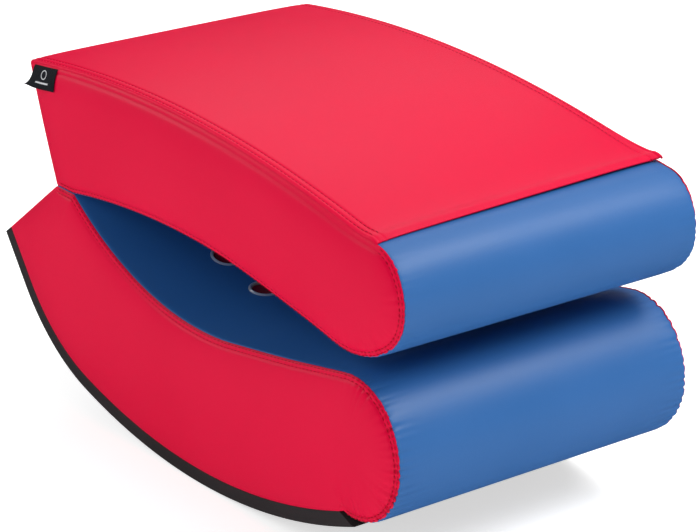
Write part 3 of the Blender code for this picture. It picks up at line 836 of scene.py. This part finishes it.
@dataclass
class RockerSeat(Block):
    """The lower block: dish, nose, rocking underside and heel."""

    dish_start: float = 37.0
    dish_radius: float = 0.430
    front_slope: float = 8.8
    front_run: float = 0.210
    nose_radius: float = 0.081
    end_slope: float = 37.0
    end_length: float = 0.142
    rocker_radius: float = 0.820
    low_point: float = 0.277
    depth: float = 0.280
    ramp_slope: float = 54.0
    blend_radius: float = 0.250
    sole: float = 0.018
    toe_setback: float = 0.008
    toe_lean: float = 0.020
    zip_bearing: float = -84.0
    vent_slopes: tuple[float, float] = (-17.3, -6.7)
    vent_offset: float = 0.075
    vent_radius: float = 0.019
    vent_bore: float = 0.0155

    def underside(self, sole: float) -> tuple:
        """Return the rocking surface's circles a sole's thickness or nothing inside it, and the heel."""
        centre = np.array([self.low_point, self.rocker_radius - self.depth])
        radius = self.rocker_radius - sole
        ramp = heading(-self.ramp_slope)
        into = heading(90.0 - self.ramp_slope)
        heel = self.end_length * heading(180.0 + self.end_slope) - (self.sole - sole) * into
        blend = self.blend_radius - sole
        offset = heel + blend * into - centre
        half = float(offset @ ramp)
        along = -half + math.sqrt(half**2 - float(offset @ offset) + (radius - blend) ** 2)
        blend_centre = heel + blend * into + along * ramp
        return centre, radius, blend_centre, blend, bearing(blend_centre - centre), heel

    def outline(self) -> Outline:
        """Return the block's side outline, from the fold line over the dish, nose, underside and heel."""
        made = Outline(self.fold)
        land_end = np.array([self.land, 0.0])
        made.lay(land_end, "land")
        dish_centre = land_end + self.dish_radius * heading(90.0 - self.dish_start)
        dish = arc(dish_centre, self.dish_radius, -90.0 - self.dish_start, -90.0 + self.front_slope)
        made.lay(dish, "dish")
        run_end = dish[-1] + self.front_run * heading(self.front_slope)
        made.lay(run_end, "run")
        nose = run_end + self.nose_radius * right_of(heading(self.front_slope))
        centre, radius, blend_centre, blend, meeting, heel = self.underside(self.sole)
        toe = circle_meet(nose, self.nose_radius, centre, radius)[0]
        made.lay(arc(nose, self.nose_radius, 90.0 + self.front_slope, 45.0), "upper")
        made.lay(arc(nose, self.nose_radius, 45.0, -45.0), "lower")
        made.lay(arc(nose, self.nose_radius, -45.0, self.zip_bearing), "zip")
        made.lay(arc(nose, self.nose_radius, self.zip_bearing, bearing(toe - nose)), "toe")
        made.lay(arc(centre, radius, bearing(toe - centre), meeting), "rocker")
        made.lay(arc(blend_centre, blend, meeting, -90.0 - self.ramp_slope), "ramp")
        made.lay(heel, "heel")
        made.lay(self.strip * heading(180.0 + self.end_slope), "strip")
        made.lay(np.zeros(2), "end")
        return made

    def build(self) -> None:
        """Make every visible piece of the rocker seat."""
        outline = self.outline()
        seam = outline.path("fold", "toe")
        to_nose = outline.reach("fold", "run")
        to_zip = outline.reach("fold", "zip")
        swells = (Swell(to_nose - 0.01, 0.0030, 0.075), Swell(to_nose + 0.05, 0.0030, 0.05))
        gathers = (
            Gathers(to_nose + 0.005, seam.total - 0.01, 0.0102, 0.0040, 0.0120, 11),
            Gathers(0.06, to_nose, 0.0085, 0.0004, 0.004, 12),
        )
        self.sides(outline, seam, gathers, swells)
        self.topstitch("seat_topstitching", seam, 0.006, seam.total - 0.004, swells)
        dish_length = outline.reach("land", "dish")
        turn = math.radians(self.front_slope + self.dish_start)
        shares = [math.radians(slope + self.dish_start) / turn for slope in self.vent_slopes]
        vents = [self.land + dish_length * share for share in shares]
        zip_edge = to_zip - ZIP_HALF
        near = (vents[0] - 0.03, vents[1] + 0.03)
        along = graded(
            (0.00015, 0.006, 0.0015), (0.006, near[0], 0.005), (*near, 0.0016), (near[1], to_nose, 0.005),
            (to_nose, zip_edge, 0.0018),
        )
        half = HALF_WIDTH - SEAM_GAP
        across = seam_columns(half, (self.vent_offset - 0.022, self.vent_offset + 0.022))
        bore = self.vent_bore + 0.0012
        holes = [(place, side * self.vent_offset, bore) for place in vents for side in (-1, 1)]
        replaced = ("seat_panel", "seat_comfort_foam")
        self.wrap(
            "seat_cover", seam, along, across, BLUE_VINYL, replaced, gathers, swells, holes=holes, padded=True
        )
        places = [Vector((x, 0.0, z)) for x, z in seam.at(np.array(vents))]
        for name, node in frame["nodes"].items():
            if "vent_grommet" in name:
                corners = [node.matrix_world @ Vector(corner) for corner in node.bound_box]
                middle = sum(corners, Vector()) / len(corners)
                gaps = [(middle.x - place.x) ** 2 + (middle.z - place.z) ** 2 for place in places]
                along_seam = vents[gaps.index(min(gaps))]
                self.grommet(seam, along_seam, math.copysign(self.vent_offset, middle.y), name)
        underside = outline.path("zip", "heel")
        along = graded((ZIP_HALF, underside.total - TRIM, 0.006))
        plain = graded((-half, half, 0.02))
        self.wrap("seat_bottom_lining", underside, along, plain, LINING, ("seat_bottom_panel",))
        end = outline.path("heel", "strip")
        along = graded((TRIM, end.total - TRIM, 0.004))
        self.wrap(
            "seat_end_cover", end, along, seam_columns(half), RED_VINYL, ("seat_end_panel",), sink=0.0012
        )
        self.sole_piece()

    def grommet(self, seam: Path, along: float, off: float, node: str) -> None:
        """Make one smooth rolled grommet: a closed profile turned round the vent's middle.

        Args:
            seam: The outline that the seat surface follows.
            along: The vent's place along it.
            off: The vent's place across the width.
            node: The node that it stands for.
        """
        bore = self.vent_bore
        bend = np.radians(np.linspace(180.0, 20.0, 9))
        roll = np.stack([bore + 0.0014 + 0.0014 * np.cos(bend), 0.0006 + 0.0014 * np.sin(bend)], axis=1)
        profile = np.concatenate([
            [[bore, -0.0100]], roll, [[self.vent_radius - 0.0004, 0.0009], [self.vent_radius, 0.0005]],
            [[self.vent_radius, 0.0], [bore + 0.0012, 0.0], [bore + 0.0012, -0.0100]],
        ])
        turn = np.linspace(0.0, 2.0 * math.pi, 65)[:-1]
        out = seam.out(np.array([along]))[0]
        middle = seam.at(np.array([along]))[0]
        reach = profile[:, :1] * np.cos(turn)
        rise = np.broadcast_to(profile[:, 1:], reach.shape)
        sideways = right_of(out)
        grid = np.stack([
            middle[0] + reach * sideways[0] + rise * out[0],
            off + profile[:, :1] * np.sin(turn),
            middle[1] + reach * sideways[1] + rise * out[1],
        ], axis=-1)
        faces = grid_faces(*grid.shape[:2], round_rows=True, round_columns=True)
        piece = mesh_piece(node.replace("vent_grommet", "rolled_grommet"), grid, faces, VENT_STEEL)
        outward_mesh(piece)
        dressed(piece, self.body, (node,))

    def sides(
        self, outline: Outline, seam: Path, gathers: Sequence[Gathers], swells: Sequence[Swell],
    ) -> None:
        """Make both padded side panels."""
        underside = outline.path("toe", "heel")
        end = outline.path("heel", "end")
        bottom = Path(outline.path("lower", "heel").points[::-1])
        top = outline.path("fold", "upper")
        right = Path(outline.path("upper", "lower").points[::-1])
        flat = self.side_grid((bottom, top, end, right), (edge_spread(420, 0.35), edge_spread(76, 0.8)))
        for side, word in ((-1, "right"), (1, "left")):
            replaced = (f"seat_side_panel_{word}", f"seat_side_wadding_{word}")
            self.side_cover(
                side, flat, ((seam, 1.0), (underside, 2.0), (end, 1.0)), seam, gathers, swells,
                f"seat_side_cover_{word}", replaced,
            )

    def sole_piece(self) -> None:
        """Make the anti-slip sole: a slab section with eased edges, carried along the rocking surface."""
        centre, radius, blend_centre, blend, meeting, heel = self.underside(0.0)
        outline = self.outline()
        toe = outline.points[outline.corner["toe"]]
        front = bearing(toe - centre) - math.degrees(self.toe_setback / radius)
        lean = math.degrees(self.toe_lean / radius)
        depth = self.sole - SEAM_GAP
        lines = []
        for inset, start in ((0.0, front + lean), (depth, front)):
            lines.append(
                np.concatenate([
                    arc(centre, radius - inset, start, meeting),
                    arc(blend_centre, blend - inset, meeting, -90.0 - self.ramp_slope),
                    [heel + inset * heading(90.0 - self.ramp_slope)],
                ]) + outline.fold
            )
        parts = np.linspace(0.0, 1.0, 260)
        outer, inner = (path.at(parts * path.total) for path in map(Path, lines))
        edge = 0.0022
        corner = np.radians(np.linspace(0.0, 90.0, 5))
        side_run = np.concatenate([[0.0], edge * (1.0 - np.cos(corner))])
        depth_run = np.concatenate([[depth], edge * (1.0 - np.sin(corner))])
        left = np.stack([-HALF_WIDTH + side_run, depth_run], axis=1)
        right = np.stack([HALF_WIDTH - side_run, depth_run], axis=1)[::-1]
        section = np.concatenate([left, right])
        share = (section[:, 1] / depth)[None, :, None]
        plane = outer[:, None] * (1.0 - share) + inner[:, None] * share
        width = np.broadcast_to(section[None, :, 0], plane.shape[:2])
        grid = np.stack([plane[..., 0], width, plane[..., 1]], axis=-1)
        rows, columns = grid.shape[:2]
        faces = grid_faces(rows, columns, round_columns=True).tolist()
        faces.append(list(range(columns)))
        faces.append(list(range(rows * columns - 1, (rows - 1) * columns - 1, -1)))
        piece = mesh_piece("rocking_sole", grid, faces, SOLE)
        outward_mesh(piece)
        dressed(piece, self.body, ("rocker_sole",))


def outward_mesh(piece: bpy.types.Object) -> None:
    """Turn a closed mesh's faces outwards, and keep its hard edges hard."""
    shape = bmesh.new()
    shape.from_mesh(piece.data)
    bmesh.ops.recalc_face_normals(shape, faces=shape.faces)
    shape.to_mesh(piece.data)
    shape.free()
    piece.data.set_sharp_from_angle(angle=math.radians(40.0))


@dataclass
class Backrest(Block):
    """The upper block: arch, nose, outer arc and end face, with its topstitched outer flap."""

    end_slope: float = 110.0
    end_length: float = 0.151
    outer_radius: float = 1.880
    nose_reach: float = 0.611
    nose_rise: float = 0.050
    nose_radius: float = 0.059
    arch_radius: float = 1.270
    arch_start: float = 9.6
    arch_end: float = 13.7
    corner_radius: float = 0.005
    flap_rise: float = 0.0022
    flap_sink: float = 0.0003
    flap_overlap: float = 0.034
    hem_setback: float = 0.0115
    flap_lap: float = 0.0010
    hem_skew: float = 0.0085

    def outline(self) -> Outline:
        """Return the block's side outline, from the fold line over the end face, outer arc, nose and arch."""
        made = Outline(self.fold)
        made.lay(self.strip * heading(self.end_slope), "strip")
        corner = self.end_length * heading(self.end_slope)
        nose = np.array([self.nose_reach, self.nose_rise])
        centre = circle_meet(corner, self.outer_radius, nose, self.outer_radius - self.nose_radius)[1]
        tangent = bearing(nose - centre)
        up = heading(self.end_slope)
        offset = self.corner_radius * right_of(up) - centre
        half = float(offset @ up)
        inner = self.outer_radius - self.corner_radius
        shoulder = offset + centre + (-half + math.sqrt(half**2 - float(offset @ offset) + inner**2)) * up
        start = self.end_slope + 90.0
        meeting = bearing(shoulder - centre)
        made.lay(arc(shoulder, self.corner_radius, start, (start + meeting) / 2.0), "top")
        made.lay(arc(shoulder, self.corner_radius, (start + meeting) / 2.0, meeting), "shoulder")
        back = math.degrees((self.flap_overlap + 0.010) / self.outer_radius)
        made.lay(arc(centre, self.outer_radius, meeting, tangent + back), "zip")
        made.lay(arc(centre, self.outer_radius, tangent + back, tangent), "hem")
        land_end = np.array([self.land, 0.0])
        arch_centre = land_end - self.arch_radius * heading(90.0 + self.arch_start)
        arch_end = arch_centre + self.arch_radius * heading(90.0 - self.arch_end)
        up = heading(90.0 - self.arch_end)
        apart = arch_end - nose
        blend = (self.nose_radius**2 - float(apart @ apart)) / (2.0 * (float(up @ apart) + self.nose_radius))
        blend_centre = arch_end + blend * up
        meeting = bearing(nose - blend_centre)
        made.lay(arc(nose, self.nose_radius, tangent, 45.0), "upper")
        made.lay(arc(nose, self.nose_radius, 45.0, -45.0), "lower")
        made.lay(arc(nose, self.nose_radius, -45.0, meeting), "nose")
        made.lay(arc(blend_centre, blend, meeting, -90.0 - self.arch_end), "blend")
        made.lay(arc(arch_centre, self.arch_radius, 90.0 - self.arch_end, 90.0 + self.arch_start), "land")
        made.lay(np.zeros(2), "end")
        return made

    def build(self) -> None:
        """Make every visible piece of the backrest."""
        outline = self.outline()
        seam = outline.path("top", "end")
        to_hem = outline.reach("top", "hem")
        to_blend = outline.reach("top", "blend")
        swells = (Swell(to_hem + 0.010, 0.0062, 0.036), Swell(to_blend + 0.10, 0.0030, 0.09))
        gathers = (
            Gathers(to_hem + 0.02, to_blend, 0.0105, 0.0020, 0.0090, 21),
            Gathers(to_blend, seam.total, 0.0085, 0.0004, 0.004, 22),
        )
        end = outline.path("fold", "top")
        top = outline.path("top", "upper")
        bottom = Path(outline.path("lower", "end").points[::-1])
        right = Path(outline.path("upper", "lower").points[::-1])
        flat = self.side_grid((bottom, top, end, right), (edge_spread(420, 0.35), edge_spread(70, 0.8)))
        for side, word in ((-1, "right"), (1, "left")):
            replaced = (f"back_side_panel_{word}", f"back_side_wadding_{word}")
            self.side_cover(
                side, flat, ((seam, 1.0), (end, 1.0)), seam, gathers, swells, f"back_side_cover_{word}",
                replaced,
            )
        self.topstitch("back_topstitching", seam, to_hem + 0.004, seam.total - 0.006, swells)
        half = HALF_WIDTH - SEAM_GAP
        across = seam_columns(half)
        panel_start = outline.reach("top", "zip") + ZIP_HALF
        along = graded(
            (panel_start, to_hem, 0.004), (to_hem, to_blend, 0.0018), (to_blend, seam.total - 0.00015, 0.005)
        )
        replaced = ("back_panel", "back_comfort_foam")
        self.wrap("back_cover", seam, along, across, BLUE_VINYL, replaced, gathers, swells, padded=True)
        face = outline.path("strip", "top")
        along = graded((TRIM, face.total - TRIM, 0.004))
        self.wrap("back_end_cover", face, along, across, RED_VINYL, ("back_end_panel",), sink=self.flap_sink)
        self.flap(outline, swells)

    def edge_sink(self, along: np.ndarray) -> np.ndarray:
        """Return the sink of a side panel's edge: shallow beside the flap, deeper past its hem."""
        hem = self.outline().reach("top", "hem") - self.hem_setback
        past = np.clip((along - hem + 0.006) / 0.012, 0.0, 1.0)
        return self.flap_sink + SEAM_SINK * past

    def flap(self, outline: Outline, swells: Sequence[Swell]) -> None:
        """Make the outer flap: a folded-edge panel over the outer arc, with two stitch rows down either side.

        Its height over the outline is a shallow dome. A furrow runs under each stitch row, and the edge rolls
        down over the side seam.
        """
        path = outline.path("strip", "hem")
        before = outline.reach("strip", "top")
        end = path.total - before - self.hem_setback
        half = HALF_WIDTH + 0.0016
        rows_in = (0.0055, 0.0135)
        right = graded((0.0, half - 0.022, 0.008), (half - 0.022, half, 0.0009))
        across = np.concatenate([-right[:0:-1], right])
        along = graded((-self.flap_lap, 0.03, 0.0014), (0.03, end - 0.03, 0.005), (end - 0.03, end, 0.0014))
        rows, columns = np.meshgrid(along, across, indexing="ij")
        away = half - np.abs(columns)
        spur = np.exp(-((away / 0.008) ** 2)) * (columns > 0.0)
        lift = self.surface_rise(end, rows, away, rows_in, swells)
        lift += 0.0050 * spur * np.exp(-(((end - rows) / 0.05) ** 2))
        rows = rows * (end - self.hem_skew * columns / half + 0.004 * spur) / end
        roll = 0.0032
        lift -= roll - np.sqrt(np.clip(roll**2 - np.clip(roll - away, 0.0, roll) ** 2, 0.0, None))
        plane = path.at(before + rows) + path.out(before + rows) * lift[..., None]
        grid = np.stack([plane[..., 0], columns, plane[..., 1]], axis=-1)
        faces = grid_faces(*grid.shape[:2])
        piece = thickened(mesh_piece("back_flap", grid, faces, RED_VINYL), 0.0020)
        dressed(piece, self.body, ("back_outer_flap",))
        thread = Stitching()
        for side in (-1, 1):
            for inset in rows_in:
                def place(along: np.ndarray, side: int = side, inset: float = inset) -> np.ndarray:
                    """Return points on the flap along the stitch row."""
                    away = np.full(len(along), inset)
                    lift = self.surface_rise(end, along, away, rows_in, swells)
                    plane = path.at(before + along) + path.out(before + along) * lift[:, None]
                    width = np.full(len(along), side * (half - inset))
                    return np.stack([plane[:, 0], width, plane[:, 1]], axis=1)

                def lift_out(along: np.ndarray) -> np.ndarray:
                    """Return the directions straight out of the flap."""
                    plane = path.out(before + along)
                    return np.stack([plane[:, 0], np.zeros(len(along)), plane[:, 1]], axis=1)

                thread.row(place, lift_out, 0.004, end - 0.004)
        dressed(thread.piece("flap_topstitching"), self.body)

    def surface_rise(
        self, end: float, along: np.ndarray, away: np.ndarray, rows_in: tuple[float, float],
        swells: Sequence[Swell],
    ) -> np.ndarray:
        """Return the flap's height over the outline, by length along it and distance from its edge.

        It grows from almost nothing at the shoulder, so that the end faces still meet when the seat is open.
        """
        dome = 0.0022 * (1.0 - np.exp(-away / 0.03))
        furrows = sum(0.0008 * np.exp(-(((away - inset) / 0.0013) ** 2)) for inset in rows_in)
        start = 1.0 - 0.93 * np.exp(-(along + self.flap_lap) / 0.003)
        hem = 0.0016 * np.exp(-(((end - along - 0.010) / 0.007) ** 2))
        rise = sum(swell.rise(along) for swell in swells)
        return (self.flap_rise + dome - furrows + hem + rise) * start - 0.0012 * np.exp(-(end - along) / 0.002)


@dataclass
class HingeStrip:
    """The vinyl strip that joins the two end faces and folds at the fold line."""

    fold: Vector
    reach: float = 0.045
    seat_heading: float = 217.0
    back_heading: float = 110.0

    def build(self) -> None:
        """Make the strip: two flats joined by a tight round bend, blended across the fold."""
        seat = heading(self.seat_heading)
        back = heading(self.back_heading)
        start = np.array([self.fold.x, self.fold.z])
        line = Path(np.array([start + self.reach * seat, start, start + self.reach * back]))
        bend = (self.reach - 0.004, self.reach + 0.004)
        along = graded((TRIM, bend[0], 0.003), (*bend, 0.0004), (bend[1], 2.0 * self.reach - TRIM, 0.003))
        half = HALF_WIDTH - SEAM_GAP
        across = seam_columns(half, step=0.0015)
        rows, columns = np.meshgrid(along, across, indexing="ij")
        off = np.abs(rows - self.reach)
        plane = line.at(rows)
        out = line.out(np.where(off < 0.0005, self.reach - 0.001, rows))
        sink = SEAM_SINK * np.exp(-(HALF_WIDTH - np.abs(columns)) / SINK_FADE)
        plane = plane - out * sink[..., None]
        grid = np.stack([plane[..., 0], columns, plane[..., 1]], axis=-1)
        piece = mesh_piece("hinge_strip", grid, grid_faces(*grid.shape[:2]), RED_VINYL)
        thickened(piece, 0.0012)
        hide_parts("hinge_strip_seat_half", "hinge_strip_back_half")
        near = 0.002
        ends = [self.fold + Vector((near * way[0], 0.0, near * way[1])) for way in (seat, back)]
        tuple(ends[0])
        tuple(ends[1])
        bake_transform(piece)
        LOG.info("hinge_strip bends between seat and back")


@dataclass
class Label:
    """The cloth label sewn into the seam at the backrest's top corner, one of its lower corners curled up.

    Attributes:
        fold: The fold line's place.
        crown: The padding that it hangs over.
        width: Its length along the seam.
        drop: Its length down from the seam.
        start: Side-plane place of its rear top corner, from the fold line.
        slope: Slope of its top edge, in degrees.
        gap: Clearance over the side panel.
        curl: How far the loose corner stands out.
    """

    fold: Vector
    crown: Crown
    width: float = 0.052
    drop: float = 0.028
    start: tuple[float, float] = (-0.0365, 0.1412)
    slope: float = 6.8
    gap: float = 0.0014
    curl: float = 0.0085

    def surface(self, along: np.ndarray, down: np.ndarray, lift: float = 0.0) -> np.ndarray:
        """Return points of the hanging cloth.

        The cloth follows the side panel's crown. Its curled corner stands out as the square of the distance
        past mid-drop, and the length that a slope uses up is taken off the drop.

        Args:
            along: Places along the top edge, in metres.
            down: Lengths down the cloth.
            lift: Height over the cloth.
        """
        steps = np.linspace(0.0, 1.0, 40)
        lengths = down[..., None] * steps
        past = np.clip((lengths / self.drop - 0.35) / 0.65, 0.0, None) ** 2
        corner = np.exp(-((along / (0.45 * self.width)) ** 2))[..., None]
        ripple = 0.0006 * np.sin(along / self.width * 9.0)[..., None] * (lengths / self.drop)
        out = self.crown.rise([lengths, np.ones_like(lengths)]) * 0.96 + past * corner * self.curl + ripple
        stride = np.diff(lengths, axis=-1)
        steepest = (0.25 * stride) ** 2
        fallen = np.sqrt(np.clip(stride**2 - np.diff(out, axis=-1) ** 2, steepest, None)).sum(axis=-1)
        origin = np.array([self.fold.x, self.fold.z]) + np.array(self.start)
        edge = heading(self.slope)
        plane = origin + along[..., None] * edge + fallen[..., None] * right_of(edge)
        side = -(HALF_WIDTH + self.gap + out[..., -1] + lift)
        return np.stack([plane[..., 0], side, plane[..., 1]], axis=-1)

    def build(self) -> None:
        """Make the cloth and its plain woven mark: a ring with a bar below it."""
        along, down = np.meshgrid(np.linspace(0.0, self.width, 70), np.linspace(0.0, self.drop, 40))
        grid = self.surface(along, down)
        faces = grid_faces(*grid.shape[:2])
        cloth = thickened(mesh_piece("hanging_label", grid, faces, LABEL_CLOTH), 0.0005)
        dressed(cloth, "label", ("woven_label",))
        turns = np.linspace(0.0, 2.0 * math.pi, 49)[:-1]
        turn, width = np.meshgrid(turns, np.linspace(-0.0006, 0.0006, 3))
        radius = 0.0052 + width
        ring = self.surface(0.5 * self.width + radius * np.cos(turn), 0.0105 + radius * np.sin(turn), 0.0002)
        faces = grid_faces(*ring.shape[:2], round_columns=True)[:, ::-1]
        self.thread("label_ring", ring, faces)
        along, down = np.meshgrid(np.linspace(0.014, self.width - 0.014, 30), np.linspace(0.0195, 0.0215, 4))
        bar = self.surface(along, down, 0.0002)
        faces = grid_faces(*bar.shape[:2])
        self.thread("label_bar", bar, faces)

    def thread(self, name: str, grid: np.ndarray, faces: np.ndarray) -> None:
        """Make one raised part of the woven mark."""
        dressed(thickened(mesh_piece(name, grid, faces, LABEL_THREAD), 0.00015), "label")


@dataclass
class Studio:
    """Camera, lights and floor."""

    eye: tuple[float, float, float] = (2.5182, -1.8636, 1.4172)
    ahead: tuple[float, float, float] = (-0.74616, 0.56109, -0.35837)
    lens: float = 148.556
    floor_size: float = 24.0

    def build(self) -> None:
        """Place the camera, the soft lights and the pale floor."""
        data = bpy.data.cameras.new("camera")
        data.lens = self.lens
        data.sensor_width = 36.0
        camera = bpy.data.objects.new("camera", data)
        camera.location = self.eye
        camera.rotation_euler = Vector(self.ahead).to_track_quat("-Z", "Y").to_euler()
        bpy.context.scene.collection.objects.link(camera)
        bpy.context.scene.camera = camera
        self.softbox("top_light", (0.2, 0.9, 2.6), (0.0, 0.0, 0.2), 2.4, 32.0)
        self.softbox("back_light", (-2.2, 1.7, 2.2), (0.0, 0.0, 0.3), 1.6, 12.0)
        self.softbox("front_light", (1.5, -2.9, 1.9), (0.0, 0.0, 0.2), 1.8, 30.0, mirrored=False)
        self.softbox("left_light", (-2.6, -1.8, 1.7), (0.0, 0.0, 0.2), 1.3, 30.0)
        self.softbox("nose_light", (2.0, 1.6, 2.9), (0.2, 0.0, 0.2), 1.6, 84.0)
        world = bpy.data.worlds.new("studio")
        world.use_nodes = True
        world.node_tree.nodes["Background"].inputs["Color"].default_value = (1.0, 1.0, 1.0, 1.0)
        world.node_tree.nodes["Background"].inputs["Strength"].default_value = 0.28
        bpy.context.scene.world = world
        world.cycles_visibility.glossy = False
        bpy.context.scene.view_settings.view_transform = "Standard"
        self.floor()

    def softbox(
        self, name: str, place: tuple[float, float, float], target: tuple[float, float, float], size: float,
        power: float, mirrored: bool = True,
    ) -> None:
        """Hang a square area light that faces a target, and say whether surfaces mirror it."""
        data = bpy.data.lights.new(name, "AREA")
        data.size = size
        data.energy = power
        light = bpy.data.objects.new(name, data)
        light.location = place
        light.visible_glossy = mirrored
        light.rotation_euler = (Vector(target) - Vector(place)).to_track_quat("-Z", "Y").to_euler()
        bpy.context.scene.collection.objects.link(light)

    def floor(self) -> None:
        """Lay the floor just under the sole."""
        graph = Graph("pale floor")
        tone = graph.noise(0.5, 2.0)
        colour = graph.blend(tone, (0.86, 0.86, 0.86, 1.0), (0.88, 0.88, 0.88, 1.0))
        graph.feed(graph.shader.inputs["Base Color"], colour)
        graph.feed(graph.shader.inputs["Roughness"], 0.9)
        graph.feed(graph.shader.inputs["Emission Color"], (1.0, 1.0, 1.0, 1.0))
        graph.feed(graph.shader.inputs["Emission Strength"], 0.6)
        half = self.floor_size / 2.0
        level = -0.0005
        corners = [(-half, -half, level), (half, -half, level), (half, half, level), (-half, half, level)]
        mesh = bpy.data.meshes.new("floor")
        mesh.from_pydata(corners, [], [(0, 1, 2, 3)])
        mesh.materials.append(graph.material)
        floor = bpy.data.objects.new("floor", mesh)
        bpy.context.scene.collection.objects.link(floor)
        floor.visible_glossy = False


NODE_FINISHES: dict[str, Finish] = {
    "foam_core": FIRM_FOAM,
    "vent_grommet": VENT_STEEL,
    "vent_washer": VENT_STEEL,
    "vent_mesh": VENT_MESH,
    "zip_tape": ZIP_TAPE,
    "zip_coil": ZIP_COIL,
    "zip_stop": ZIP_STEEL,
    "zip_slider": ZIP_STEEL,
    "zip_pull": ZIP_STEEL,
    "woven_label": LABEL_CLOTH,
}


def dress_nodes() -> None:
    """Give each carried-over node its finish."""
    for name, node in frame["nodes"].items():
        for part, finish in NODE_FINISHES.items():
            if part in name:
                node.data.materials.clear()
                node.data.materials.append(finish.material())
                LOG.info("%s is finished as %s", name, finish.name)


def main() -> None:
    """Build the whole object and its studio."""
    logging.basicConfig(level=logging.INFO, format="%(message)s")
    joints = {joint["name"]: joint for joint in frame["joints"]}
    fold = Vector(joints["fold"]["pos_m"])
    RockerSeat(fold, "seat").build()
    Backrest(fold, "back").build()
    HingeStrip(fold).build()
    Label(fold, Crown()).build()
    dress_nodes()
    Studio().build()


if __name__ == "__main__":
    main()
